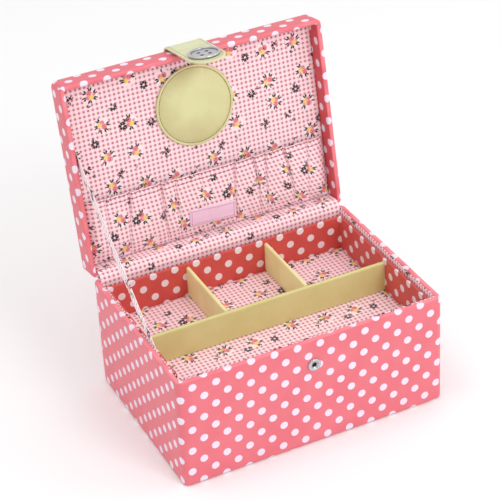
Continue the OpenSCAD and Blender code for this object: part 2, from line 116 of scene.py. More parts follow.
def finish_of(name, colour, roughness, **sockets):
    """A new material with its constants on the shader's own sockets, its tree and its shader."""
    material = bpy.data.materials.new(name)
    material.use_nodes = True
    shader = material.node_tree.nodes["Principled BSDF"]
    shader.inputs["Base Color"].default_value = linear(colour)
    shader.inputs["Roughness"].default_value = roughness
    for key, value in sockets.items():
        shader.inputs[key.replace("_", " ")].default_value = value
    return material, material.node_tree, shader


def blend_colours(tree, amount, first, second):
    """The socket of a mix of two colours, each a hex value or a socket."""
    pair = {6: first, 7: second, 0: amount}
    for key in (6, 7):
        if isinstance(pair[key], str):
            pair[key] = linear(pair[key])
    return add(tree, MIX, pair, data_type="RGBA").outputs[2]


def soft_step(tree, value, start, end):
    """1 where value is below start, 0 above end."""
    return add(tree, RANGE, {"Value": value, "From Min": start, "From Max": end, "To Min": 1.0,
                             "To Max": 0.0}, interpolation_type="SMOOTHSTEP").outputs[0]


def dotted_cloth(name, ground, shade, dot, sizes):
    """Printed cotton with a thin clear coat: round dots on a centred lattice, with a fine weave.

    The wear_and_shade attribute is above nought where the ink is rubbed pale, and below it where a deeper
    coral is painted in as shade.
    """
    material, tree, shader = finish_of(name, ground, 0.55, Sheen_Weight=0.08, Coat_Weight=0.06,
                                       Coat_Roughness=0.45)
    uv = add(tree, "ShaderNodeUVMap", uv_map="print")
    here = add(tree, "ShaderNodeTexCoord").outputs["Object"]
    # the printed outline wavers a little, as ink on cotton does
    waver = add(tree, NOISE, {"Vector": here, "Scale": 900.0, "Detail": 2.0})
    per_metre = 1 / sizes.dot_pitch
    cell = add(tree, "ShaderNodeMapping", {"Vector": uv, "Scale": (per_metre, per_metre, 1.0)})
    away = []
    for shift in (0.0, 0.5):
        moved = add(tree, VECTOR, {0: cell, 1: (shift, shift, 0.0)}, operation="ADD")
        part = add(tree, VECTOR, {0: moved}, operation="FRACTION")
        centred = add(tree, VECTOR, {0: part, 1: (0.5, 0.5, 0.0)}, operation="SUBTRACT")
        away.append(add(tree, VECTOR, {0: centred}, operation="LENGTH").outputs["Value"])
    nearest = add(tree, MATH, {0: away[0], 1: away[1]}, operation="MINIMUM")
    # lengths from here on are shares of the pitch
    wavering, blur = 0.018, 0.008
    nearest = add(tree, MATH, {0: waver, 1: wavering, 2: nearest}, operation="MULTIPLY_ADD")
    radius = sizes.dot_width / 2 / sizes.dot_pitch + wavering / 2
    mask = soft_step(tree, nearest, radius - blur, radius + blur)
    # ink lies a little thicker in some places than in others
    cloud = add(tree, NOISE, {"Vector": here, "Scale": 38.0, "Detail": 3.0})
    ink = blend_colours(tree, soft_step(tree, cloud, 0.35, 0.65), ground, shade)
    wear_and_shade_fac = add(tree, "ShaderNodeAttribute", attribute_name="wear_and_shade").outputs["Fac"]
    ink = blend_colours(tree, wear_and_shade_fac, ink, RUBBED)
    # below nought the cloth turns deeper coral: painted shade, not a change in the ink
    deep = add(tree, MATH, {0: wear_and_shade_fac, 1: -1.0}, operation="MULTIPLY")
    ink = blend_colours(tree, deep, ink, PAINTED_SHADE_CORAL)
    tree.links.new(blend_colours(tree, mask, ink, dot), shader.inputs["Base Color"])
    # threads 0.5 mm apart are drawn 2.2 mm apart, so that the weave shows
    weave = []
    for direction in ("X", "Y"):
        weave.append(add(tree, "ShaderNodeTexWave", {"Vector": uv, "Scale": 145.0, "Distortion": 0.6,
                                                     "Detail": 1.0}, bands_direction=direction))
    threads = add(tree, MATH, {0: weave[0].outputs[1], 1: weave[1].outputs[1]}, operation="MULTIPLY")
    bump = add(tree, BUMP, {"Strength": 0.16, "Distance": 0.3 * MM, "Height": threads})
    dent = add(tree, NOISE, {"Vector": here, "Scale": 60.0, "Detail": 2.0})
    bump = add(tree, BUMP, {"Strength": 0.2, "Distance": 0.8 * MM, "Height": dent, "Normal": bump})
    tree.links.new(bump.outputs[0], shader.inputs["Normal"])
    rough = add(tree, RANGE, {"Value": cloud, "To Min": 0.48, "To Max": 0.62})
    tree.links.new(rough.outputs[0], shader.inputs["Roughness"])
    return material


def posy_group():
    """A node group that strews posies: masks of leaves, coral and yellow blossoms, and the pale ground."""
    tree = bpy.data.node_groups.new("posy", "ShaderNodeTree")
    tree.interface.new_socket("Vector", in_out="INPUT", socket_type="NodeSocketVector")
    for name in ("Seed", "Size", "Reach"):
        tree.interface.new_socket(name, in_out="INPUT", socket_type="NodeSocketFloat")
    for name in ("Leaf", "Coral", "Yellow", "Halo"):
        tree.interface.new_socket(name, in_out="OUTPUT", socket_type="NodeSocketFloat")
    given = add(tree, "NodeGroupInput")
    cell = 34 * MM
    scaled = add(tree, VECTOR, {0: given.outputs["Vector"], 1: (1 / cell, 1 / cell, 0.0)},
                 operation="MULTIPLY")
    number = add(tree, VECTOR, {0: scaled}, operation="FLOOR")
    # the print repeats every three cells across and four down
    across, down = 3.0, 4.0
    repeat = add(tree, VECTOR, {0: number, 1: (across, down, 1.0)}, operation="MODULO")
    repeat = add(tree, VECTOR, {0: repeat, 1: (across, down, 0.0)}, operation="ADD")
    repeat = add(tree, VECTOR, {0: repeat, 1: (across, down, 1.0)}, operation="MODULO")
    seeded = add(tree, "ShaderNodeCombineXYZ", {2: given.outputs["Seed"]})
    key = add(tree, VECTOR, {0: repeat, 1: seeded}, operation="ADD")
    chance = add(tree, "ShaderNodeTexWhiteNoise", {"Vector": key}, noise_dimensions="3D")
    local = add(tree, VECTOR, {0: scaled, 1: number}, operation="SUBTRACT")
    local = add(tree, VECTOR, {0: local, 1: (0.5, 0.5, 0.0)}, operation="SUBTRACT")
    shift = add(tree, VECTOR, {0: chance.outputs["Color"], 1: (0.5, 0.5, 0.5)}, operation="SUBTRACT")
    jitter = 0.5
    shift = add(tree, VECTOR, {0: shift, 1: (jitter, jitter, 0.0)}, operation="MULTIPLY")
    local = add(tree, VECTOR, {0: local, 1: shift}, operation="SUBTRACT")
    # from here one unit is a millimetre of a posy of full size
    zoom = add(tree, MATH, {0: cell / MM, 1: given.outputs["Size"]}, operation="DIVIDE")
    local = add(tree, VECTOR, {0: local, "Scale": zoom.outputs[0]}, operation="SCALE")
    turn = add(tree, MATH, {0: chance.outputs["Value"], 1: math.tau}, operation="MULTIPLY")
    local = add(tree, "ShaderNodeVectorRotate", {"Vector": local, "Angle": turn}, rotation_type="Z_AXIS")
    rag = add(tree, NOISE, {"Vector": local, "Scale": 0.8, "Detail": 2.0})
    rag = add(tree, VECTOR, {0: rag.outputs["Color"], 1: (0.5, 0.5, 0.5)}, operation="SUBTRACT")
    rag = add(tree, VECTOR, {0: rag, 1: (2.0, 2.0, 0.0)}, operation="MULTIPLY")
    local = add(tree, VECTOR, {0: local, 1: rag}, operation="ADD")
    radius = add(tree, VECTOR, {0: local}, operation="LENGTH").outputs["Value"]
    split = add(tree, "ShaderNodeSeparateXYZ", {0: local})
    angle = add(tree, MATH, {0: split.outputs[1], 1: split.outputs[0]}, operation="ARCTAN2")
    leaves = 6
    sector = add(tree, MATH, {0: angle, 1: leaves / math.tau, 2: 8.5}, operation="MULTIPLY_ADD")
    part = add(tree, MATH, {0: sector}, operation="FRACT")
    part = add(tree, MATH, {0: part, 1: 0.5}, operation="SUBTRACT")
    across = add(tree, MATH, {0: part, 1: radius}, operation="MULTIPLY")
    across = add(tree, MATH, {0: across, 1: math.tau / leaves}, operation="MULTIPLY")
    along = add(tree, MATH, {0: radius, 1: given.outputs["Reach"]}, operation="SUBTRACT")
    along = add(tree, MATH, {0: along, 1: 1.9}, operation="DIVIDE")
    # leaves grow in pairs that open outwards like a V
    across = add(tree, MATH, {0: across}, operation="ABSOLUTE")
    opening = add(tree, MATH, {0: along, 1: -0.55, 2: -0.95}, operation="MULTIPLY_ADD")
    across = add(tree, MATH, {0: across, 1: opening}, operation="ADD")
    across = add(tree, MATH, {0: across, 1: 0.78}, operation="DIVIDE")
    pair = add(tree, "ShaderNodeCombineXYZ", {0: across, 1: along})
    leaf = add(tree, VECTOR, {0: pair}, operation="LENGTH").outputs["Value"]
    # some leaves are missing, so no two sides of a posy look the same
    which = add(tree, MATH, {0: sector}, operation="FLOOR")
    where = add(tree, "ShaderNodeCombineXYZ", {0: which, 1: chance.outputs["Value"]})
    missing = add(tree, "ShaderNodeTexWhiteNoise", {"Vector": where}, noise_dimensions="2D")
    kept = add(tree, MATH, {0: missing.outputs["Value"], 1: 0.24}, operation="GREATER_THAN")
    leaf = add(tree, MATH, {0: soft_step(tree, leaf, 0.8, 1.1), 1: kept}, operation="MULTIPLY")
    # across, up and radius of each blossom
    blossoms = {"Coral": ((-1.8, 1.4, 2.6), (-0.6, -2.6, 2.0), (2.8, 2.4, 1.3)),
                "Yellow": ((2.0, -0.7, 2.1),)}
    result = {"Leaf": leaf.outputs[0], "Halo": soft_step(tree, radius, 6.4, 8.2)}
    for name, spots in blossoms.items():
        total = 0.0
        for x, y, size in spots:
            gap = add(tree, VECTOR, {0: local, 1: (x, y, 0.0)}, operation="DISTANCE").outputs["Value"]
            spot = soft_step(tree, gap, size - 0.3, size + 0.3)
            total = add(tree, MATH, {0: total, 1: spot}, operation="MAXIMUM")
        # pale marks between the petals
        mark = add(tree, NOISE, {"Vector": local, "Scale": 1.1, "Detail": 1.0})
        mark = add(tree, RANGE, {"Value": mark, "From Min": 0.42, "From Max": 0.56, "To Min": 0.5,
                                 "To Max": 1.0})
        result[name] = add(tree, MATH, {0: total, 1: mark}, operation="MULTIPLY").outputs[0]
    add(tree, "NodeGroupOutput", result)
    return tree


def gingham_cloth(name, posies, sizes, palette):
    """Woven cotton with small checks and strewn posies: matt, with soft raised threads.

    The palette is the ground, the plain bands and the checks where two bands cross.
    """
    material, tree, shader = finish_of(name, palette[1], 0.8, Sheen_Weight=0.15)
    uv = add(tree, "ShaderNodeUVMap", uv_map="print")
    here = add(tree, "ShaderNodeTexCoord").outputs["Object"]
    tile = add(tree, VECTOR, {0: uv, 1: (1 / sizes.check_pitch, 1 / sizes.check_pitch, 0.0)},
               operation="MULTIPLY")
    tile = add(tree, VECTOR, {0: tile}, operation="FRACTION")
    tile = add(tree, VECTOR, {0: tile, 1: (0.5, 0.5, 0.0)}, operation="SUBTRACT")
    tile = add(tree, VECTOR, {0: tile}, operation="ABSOLUTE")
    split = add(tree, "ShaderNodeSeparateXYZ", {0: tile})
    bands = [soft_step(tree, split.outputs[k], 0.19, 0.26) for k in (0, 1)]
    level = add(tree, MATH, {0: bands[0], 1: bands[1]}, operation="ADD")
    level = add(tree, MATH, {0: level, 1: 0.5}, operation="MULTIPLY")
    ramp = add(tree, "ShaderNodeValToRGB", {0: level})
    ramp.color_ramp.elements.new(0.5)
    for element, colour in zip(ramp.color_ramp.elements, palette):
        element.color = linear(colour)
    colour = ramp.outputs[0]
    for seed, size, reach, offset, masks in POSY_LAYERS:
        moved = add(tree, VECTOR, {0: uv, 1: (offset, offset * 0.9, 0.0)}, operation="ADD")
        group = add(tree, "ShaderNodeGroup", node_tree=posies)
        for key, value in (("Seed", seed), ("Size", size), ("Reach", reach)):
            group.inputs[key].default_value = value
        tree.links.new(moved.outputs[0], group.inputs["Vector"])
        for mask in masks:
            colour = blend_colours(tree, group.outputs[mask], colour, POSY_TINTS[mask])
    tree.links.new(colour, shader.inputs["Base Color"])
    # threads 0.4 mm apart are drawn 2 mm apart, so that the weave shows
    waves = [add(tree, "ShaderNodeTexWave", {"Vector": uv, "Scale": 160.0, "Distortion": 0.5},
                 bands_direction=d).outputs[1] for d in ("X", "Y")]
    threads = add(tree, MATH, {0: waves[0], 1: waves[1]}, operation="MULTIPLY")
    bump = add(tree, BUMP, {"Strength": 0.2, "Distance": 0.3 * MM, "Height": threads})
    dent = add(tree, NOISE, {"Vector": here, "Scale": 70.0, "Detail": 2.0})
    bump = add(tree, BUMP, {"Strength": 0.25, "Distance": 1.0 * MM, "Height": dent, "Normal": bump})
    tree.links.new(bump.outputs[0], shader.inputs["Normal"])
    return material


def grained(name, colour, shade, roughness, scale, height, **sockets):
    """A material whose two close colours drift over it, with a fine grain scale cells to the metre."""
    material, tree, shader = finish_of(name, colour, roughness, **sockets)
    here = add(tree, "ShaderNodeTexCoord").outputs["Object"]
    cloud = add(tree, NOISE, {"Vector": here, "Scale": 45.0, "Detail": 3.0})
    tint = blend_colours(tree, soft_step(tree, cloud, 0.35, 0.65), shade, colour)
    tree.links.new(tint, shader.inputs["Base Color"])
    grain = add(tree, "ShaderNodeTexVoronoi", {"Vector": here, "Scale": scale, "Randomness": 1.0},
                feature="SMOOTH_F1")
    fine = add(tree, NOISE, {"Vector": here, "Scale": scale * 1.7, "Detail": 2.0})
    total = add(tree, MATH, {0: grain, 1: fine}, operation="ADD")
    bump = add(tree, BUMP, {"Strength": 0.35, "Distance": height, "Height": total})
    tree.links.new(bump.outputs[0], shader.inputs["Normal"])
    rough = add(tree, RANGE, {"Value": cloud, "To Min": roughness - 0.06, "To Max": roughness + 0.08})
    tree.links.new(rough.outputs[0], shader.inputs["Roughness"])
    return material


def brushed(name, colour, roughness):
    """A metal with a fine drift in its polish, dark where the wear_and_shade attribute says so: tarnish and
    painted shade.
    """
    material, tree, shader = finish_of(name, colour, roughness, Metallic=1.0)
    here = add(tree, "ShaderNodeTexCoord").outputs["Object"]
    tarnish_and_shade = add(tree, "ShaderNodeAttribute", attribute_name="wear_and_shade").outputs["Fac"]
    tree.links.new(blend_colours(tree, tarnish_and_shade, colour, TARNISH_AND_SHADE), shader.inputs["Base Color"])
    streak = add(tree, NOISE, {"Vector": here, "Scale": 600.0, "Detail": 4.0, "Roughness": 0.6})
    rough = add(tree, RANGE, {"Value": streak, "To Min": roughness - 0.08, "To Max": roughness + 0.1})
    tree.links.new(rough.outputs[0], shader.inputs["Roughness"])
    bump = add(tree, BUMP, {"Strength": 0.05, "Distance": 0.05 * MM, "Height": streak})
    tree.links.new(bump.outputs[0], shader.inputs["Normal"])
    return material


# ---- shapes ----

def fillet(points, radii, steps=6):
    """A path whose inner corners are rounded by the given radii."""
    path = [Vector(points[0])]
    for k in range(1, len(points) - 1):
        here = Vector(points[k])
        back = (Vector(points[k - 1]) - here).normalized()
        ahead = (Vector(points[k + 1]) - here).normalized()
        half = back.angle(ahead) / 2
        radius = radii[k - 1]
        if radius <= 0 or half > math.radians(89.5):
            path.append(here)
            continue
        reach = radius / math.tan(half)
        centre = here + (back + ahead).normalized() * (radius / math.sin(half))
        start, end = here + back * reach - centre, here + ahead * reach - centre
        sweep = math.atan2(start.x * end.y - start.y * end.x, start.dot(end))
        path += [centre + Matrix.Rotation(sweep * s / steps, 2) @ start for s in range(steps + 1)]
    path.append(Vector(points[-1]))
    return path


def refine(path, step):
    """The same path with its long straight runs cut into pieces of about step."""
    out = [path[0]]
    for a, b in zip(path, path[1:]):
        count = max(1, round((b - a).length / step))
        out += [a.lerp(b, k / count) for k in range(1, count + 1)]
    return out


def lengths(path):
    """The distance along a path at each of its points."""
    total = [0.0]
    for a, b in zip(path, path[1:]):
        total.append(total[-1] + (b - a).length)
    return total


def thickened(path, thickness):
    """The path moved to its right by thickness, point by point."""
    out = []
    for k, point in enumerate(path):
        run = path[min(k + 1, len(path) - 1)] - path[max(k - 1, 0)]
        out.append(point + Vector((run.y, -run.x)).normalized() * thickness)
    return out


def rounded_bar(width, height, radius, steps=4):
    """The outline of a bar with round corners, anticlockwise from its lower right."""
    out = []
    for k, (sx, sy) in enumerate(((1, -1), (1, 1), (-1, 1), (-1, -1))):
        for s in range(steps + 1):
            angle = math.radians(90 * (k - 1 + s / steps))
            out.append(Vector((sx * (width / 2 - radius) + radius * math.cos(angle),
                               sy * (height / 2 - radius) + radius * math.sin(angle))))
    return out


class Ring:
    """Stations round a rectangle with round corners, anticlockwise from the back of its left side."""

    def __init__(self, low, high, corner, step=9 * MM, arc=8):
        self.middle = Vector(((low.x + high.x) / 2, (low.y + high.y) / 2))
        self.half = Vector(((high.x - low.x) / 2, (high.y - low.y) / 2))
        self.corner = corner
        self.stations = []
        at = 0.0
        for side in range(4):
            # sides: 0 left, 1 front, 2 right, 3 back
            run = 2 * ((self.half.y if side % 2 == 0 else self.half.x) - corner)
            count = max(2, round(run / step))
            self.stations += [(side, k / count, 0.0, at + run * k / count) for k in range(count)]
            at += run
            turn = math.pi / 2 * corner
            self.stations += [(side, 1.0, k / arc, at + turn * k / arc) for k in range(arc)]
            at += turn
        self.total = at
        # the middle of the front is where the print starts
        self.start = 2 * (self.half.y - corner) + math.pi / 2 * corner + (self.half.x - corner)
        self.around = [s[3] - self.start for s in self.stations] + [self.total - self.start]

    def point(self, k, inset, height):
        """Station k, pulled in by inset, at a height."""
        side, along, turn, _ = self.stations[k % len(self.stations)]
        radius = max(self.corner - inset, 0.3 * MM)
        out = SIDES[side]
        run = Vector((-out.y, out.x))
        depth, reach = (self.half.x, self.half.y) if side % 2 == 0 else (self.half.y, self.half.x)
        flat = reach - inset - radius
        place = self.middle + out * (depth - inset - radius) + run * (flat * (2 * along - 1))
        angle = turn * math.pi / 2
        place += (out * math.cos(angle) + run * math.sin(angle)) * radius
        return Vector((place.x, place.y, height))


def object_of(name, points, faces, uvs, material, sharp=35):
    """An object from points, faces and one print coordinate for each corner of each face."""
    mesh = bpy.data.meshes.new(name)
    mesh.from_pydata([tuple(p) for p in points], [], faces)
    if uvs:
        layer = mesh.uv_layers.new(name="print")
        for corner, value in zip(layer.data, (uv for face in uvs for uv in face)):
            corner.uv = value
    piece = bpy.data.objects.new(name, mesh)
    bpy.context.collection.objects.link(piece)
    mesh.materials.append(material)
    mesh.shade_smooth()
    mesh.set_sharp_from_angle(angle=math.radians(sharp))
    return piece


def skin(name, loops, print_at, material, wrap=False, open_profile=False, sharp=35, cap_print=None):
    """Skins loops of points.

    wrap joins the last loop to the first. open_profile caps the two ends of the profile, and not those
    of the run of loops.
    """
    count, size = len(loops), len(loops[0])
    points = [p for loop in loops for p in loop]
    faces, uvs = [], []
    for k in range(count if wrap else count - 1):
        for j in range(size - 1 if open_profile else size):
            near, far, up = k * size, (k + 1) % count * size, (j + 1) % size
            faces.append((near + j, far + j, far + up, near + up))
            corners = ((k, j), (k + 1, j), (k + 1, j + 1), (k, j + 1))
            uvs.append([print_at(loop, point, k) for loop, point in corners])
    caps = []
    if open_profile:
        caps = [[k * size for k in range(count)][::-1], [k * size + size - 1 for k in range(count)]]
    elif not wrap:
        caps = [list(range(size)), [(count - 1) * size + j for j in range(size)][::-1]]
    for cap in caps:
        faces.append(cap)
        uvs.append([cap_print(points[i]) if cap_print else (points[i].x, points[i].y) for i in cap])
    return object_of(name, points, faces, uvs, material, sharp)


def settle(piece):
    """Turns a piece with its modifiers into a plain mesh."""
    graph = bpy.context.evaluated_depsgraph_get()
    graph.update()
    made = bpy.data.meshes.new_from_object(piece.evaluated_get(graph))
    piece.modifiers.clear()
    piece.data = made
    return piece


def cloth(name, across, down, point_at, thickness, print_at, material, offset=-1.0):
    """A sheet on a grid: point_at and print_at give a point and its print for two numbers from 0 to 1."""
    points = [point_at(i / across, j / down) for j in range(down + 1) for i in range(across + 1)]
    faces, uvs = [], []
    for j in range(down):
        for i in range(across):
            corners = ((i, j), (i + 1, j), (i + 1, j + 1), (i, j + 1))
            faces.append([y * (across + 1) + x for x, y in corners])
            uvs.append([print_at(x / across, y / down) for x, y in corners])
    piece = object_of(name, points, faces, uvs, material, 60)
    solid = piece.modifiers.new("thickness", "SOLIDIFY")
    solid.thickness = thickness
    solid.offset = offset
    return settle(piece)


def face_outwards(piece):
    """Turns every face of a closed piece outwards."""
    shell = bmesh.new()
    shell.from_mesh(piece.data)
    bmesh.ops.recalc_face_normals(shell, faces=shell.faces)
    shell.to_mesh(piece.data)
    shell.free()
    return piece


def lathe(name, profile, origin, axis, material, steps=72, ripple=None):
    """Turns a profile of (radius, height), with both its ends on the axis, round an axis through origin."""
    turn = Vector((0, 0, 1)).rotation_difference(Vector(axis)).to_matrix()
    points, rows = [], []
    for radius, height in profile:
        if radius < 1e-7:
            rows.append([len(points)])
            points.append(turn @ Vector((0, 0, height)) + origin)
            continue
        rows.append(list(range(len(points), len(points) + steps)))
        for s in range(steps):
            angle = math.tau * s / steps
            lift = ripple(radius, angle) if ripple else 0.0
            spot = Vector((radius * math.cos(angle), radius * math.sin(angle), height + lift))
            points.append(turn @ spot + origin)
    faces = []
    for a, b in zip(rows, rows[1:]):
        for s in range(steps):
            n = (s + 1) % steps
            face = [a[s % len(a)], a[n % len(a)], b[n % len(b)], b[s % len(b)]]
            faces.append(list(dict.fromkeys(face)))
    return face_outwards(object_of(name, points, faces, None, material))


def cutter(spot, axis, radius, depth, material):
    """A plain cylinder from a spot along an axis, to cut a hole with."""
    return lathe("cutter", [(0, 0), (radius, 0), (radius, depth), (0, depth)], spot, axis, material, 28)


def half_round(across, up, width, height):
    """The upper half of an oval, from right to left, as points of a profile."""
    return [(across + width * math.cos(math.pi * k / 8), up + height * math.sin(math.pi * k / 8))
            for k in range(9)]


def bore(piece, cutters):
    """Cuts the cutters out of a piece and takes them away."""
    for cutter in cutters:
        cut = piece.modifiers.new("hole", "BOOLEAN")
        cut.object = cutter
        cut.solver = "EXACT"
    settle(piece)
    for cutter in cutters:
        bpy.data.objects.remove(cutter)
    piece.data.shade_smooth()
    piece.data.set_sharp_from_angle(angle=math.radians(40))


def uneven(piece, amount, size):
    """Moves each point a little, because cloth wrapped by hand is never quite flat."""
    noise.seed_set(NOISE_SEED)
    for vertex in piece.data.vertices:
        vertex.co += noise.noise_vector(vertex.co / size) * amount
    return piece


def wear_and_shade(piece, amount):
    """Marks each point with how worn it is, up to 1; below nought the value is painted shade, and on metal it
    is tarnish and painted shade.
    """
    layer = piece.data.attributes.new("wear_and_shade", "FLOAT", "POINT")
    layer.data.foreach_set("value", [amount(vertex.co) for vertex in piece.data.vertices])


def rubbed(gap, point):
    """How worn a rim is at a point this far from it: patchy, and gone after 1.2 mm."""
    return 0.5 * max(0.0, 1 - gap / (1.2 * MM)) * (0.6 + noise.noise(point / (9 * MM)))


def stitch_tree(material):
    """A node group that lays a stitch every so often along the edges of a mesh."""
    tree = bpy.data.node_groups.new("stitches in " + material.name, "GeometryNodeTree")
    tree.interface.new_socket("Line", in_out="INPUT", socket_type="NodeSocketGeometry")
    for name, value in (("Pitch", 3.2 * MM), ("Stitch length", 2.3 * MM), ("Thread width", 0.7 * MM)):
        tree.interface.new_socket(name, in_out="INPUT", socket_type="NodeSocketFloat").default_value = value
    tree.interface.new_socket("Stitches", in_out="OUTPUT", socket_type="NodeSocketGeometry")
    given = add(tree, "NodeGroupInput")
    curve = add(tree, "GeometryNodeMeshToCurve", {"Mesh": given.outputs["Line"]})
    spots = add(tree, "GeometryNodeCurveToPoints", {"Curve": curve, "Length": given.outputs["Pitch"]},
                mode="LENGTH")
    width = given.outputs["Thread width"]
    size = add(tree, "ShaderNodeCombineXYZ", {0: given.outputs["Stitch length"], 1: width, 2: width})
    thread = add(tree, "GeometryNodeMeshUVSphere", {"Segments": THREAD_SIDES, "Rings": THREAD_RINGS,
                                                    "Radius": 0.5})
    thread = add(tree, "GeometryNodeTransform", {"Geometry": thread, "Scale": size})
    turn = add(tree, "FunctionNodeAlignRotationToVector", {"Vector": spots.outputs["Tangent"]}, axis="X")
    laid = add(tree, "GeometryNodeInstanceOnPoints", {"Points": spots, "Instance": thread, "Rotation": turn})
    real = add(tree, "GeometryNodeRealizeInstances", {"Geometry": laid})
    real = add(tree, "GeometryNodeSetShadeSmooth", {"Geometry": real})
    real = add(tree, "GeometryNodeSetMaterial", {"Geometry": real, "Material": material})
    add(tree, "NodeGroupOutput", {0: real})
    return tree


def stitches(name, lines, tone, body, slot, pitch, length, width):
    """Stitches in a thread's tone along lines of points, as one plain mesh that rides on a body."""
    points = [tuple(p) for line in lines for p in line]
    edges, at = [], 0
    for line in lines:
        edges += [(at + k, at + k + 1) for k in range(len(line) - 1)]
        at += len(line)
    mesh = bpy.data.meshes.new(name)
    mesh.from_pydata(points, edges, [])
    piece = bpy.data.objects.new(name, mesh)
    bpy.context.collection.objects.link(piece)
    sewn = piece.modifiers.new("stitches", "NODES")
    sewn.node_group = MATERIALS[tone + "_stitch"]
    sizes = {"Pitch": pitch, "Stitch length": length, "Thread width": width}
    for item in sewn.node_group.interface.items_tree:
        if item.in_out == "INPUT" and item.name in sizes:
            sewn[item.identifier] = sizes[item.name]
    settle(piece)
    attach(piece, body)
    return piece


# ---- places in the frame ----

def joint(name):
    """A joint's record."""
    return next(j for j in frame["joints"] if j["name"] == name)


HINGE = Vector(joint("lid_hinge")["pos_m"])
OPEN_ANGLE = math.radians(joint("lid_hinge")["range_deg"][1])
OPEN = Matrix.Translation(HINGE) @ Matrix.Rotation(-OPEN_ANGLE, 4, "X") @ Matrix.Translation(-HINGE)
SHUT = OPEN.inverted()


def shut_box(node):
    """Lowest and highest corner of a lid node while the lid is shut."""
    points = [SHUT @ vertex.co for vertex in frame["nodes"][node].data.vertices]
    return (Vector(min(p[k] for p in points) for k in range(3)),
            Vector(max(p[k] for p in points) for k in range(3)))


def opened(piece):
    """Turns a piece that was drawn on the shut lid to where it stands when open."""
    piece.data.transform(OPEN)
    piece.data.update()
    return piece


def place(piece, body, slot, *nodes):
    """The piece rides on a body and stands for CAD nodes, which it hides. The slot is not used."""
    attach(piece, body)
    if nodes:
        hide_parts(*nodes)
    return piece


LOW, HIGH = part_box("base_outer_cover")
HOLE_LOW, HOLE_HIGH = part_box("base_wall_lining")
RIM = HOLE_LOW.x - LOW.x
# the sheet glued under the base is as thick as the cover that stands on it
COVER = LOW.z
LID_LOW, LID_HIGH = shut_box("lid_outer_cover")
PANEL_LOW, PANEL_HIGH = shut_box("lid_panel_fabric")
POCKET_LOW, POCKET_HIGH = shut_box("lid_pocket")
PRINT_TURN = math.radians(4)


def turned_print(u, v, anchor):
    """Print coordinates turned on the box, from a place that has a dot."""
    return tuple(Matrix.Rotation(PRINT_TURN, 2) @ (Vector((u, v)) - Vector(anchor)))


# filled by make_materials and, with the stitches of each thread, by the materials operator
MATERIALS = {}


# ---- settings ----

class SewingBoxSizes(bpy.types.PropertyGroup):
    """Sizes that the looks of the box depend on"""
    dot_pitch: FloatProperty(name="Dot pitch", description="Distance between two dots of one row",
                             default=22.2 * MM, unit="LENGTH", precision=4)
    dot_width: FloatProperty(name="Dot width", description="Diameter of a dot", default=7.4 * MM,
                             unit="LENGTH", precision=4)
    check_pitch: FloatProperty(name="Check pitch", description="Distance between two checks of the gingham",
                               default=4.45 * MM, unit="LENGTH", precision=4)
    corner: FloatProperty(name="Corner radius", description="Radius of the upright corners",
                          default=6 * MM, unit="LENGTH", precision=4)
    lid_edge: FloatProperty(name="Lid edge radius", description="Radius of the edges round the lid's top",
                            default=4.5 * MM, unit="LENGTH", precision=4)
    rim_edge: FloatProperty(name="Rim edge radius", description="Radius of the covered edges of both rims",
                            default=1.7 * MM, unit="LENGTH", precision=4)
    foot_edge: FloatProperty(name="Foot edge radius", description="Radius of the bottom edge",
                             default=2.4 * MM, unit="LENGTH", precision=4)
    turn_in: FloatProperty(name="Turn-in", description="Height of the cover inside the base's rim",
                           default=18 * MM, unit="LENGTH", precision=4)
    hem_under: FloatProperty(name="Hem below", description="Width of the cover turned in below",
                             default=15 * MM, unit="LENGTH", precision=4)
    stitch_pitch: FloatProperty(name="Stitch pitch", description="Distance between two stitches",
                                default=3.0 * MM, unit="LENGTH", precision=4)
    gathers: IntProperty(name="Gathers", description="Ripples along the pocket's mouth", default=26, min=4)
    light: FloatProperty(name="Light", description="Brightness of the studio", default=1.0, min=0.1)


class SewingBoxColours(bpy.types.PropertyGroup):
    """Colours of the stage"""
    floor: FloatVectorProperty(name="Floor", description="Colour of the floor", subtype="COLOR", size=4,
                               default=(0.95, 0.95, 0.95, 1.0), min=0, max=1)
    sky: FloatVectorProperty(name="Surround", description="Colour of the light from all round",
                             subtype="COLOR", size=4, default=(1.0, 1.0, 1.0, 1.0), min=0, max=1)


# ---- pieces ----

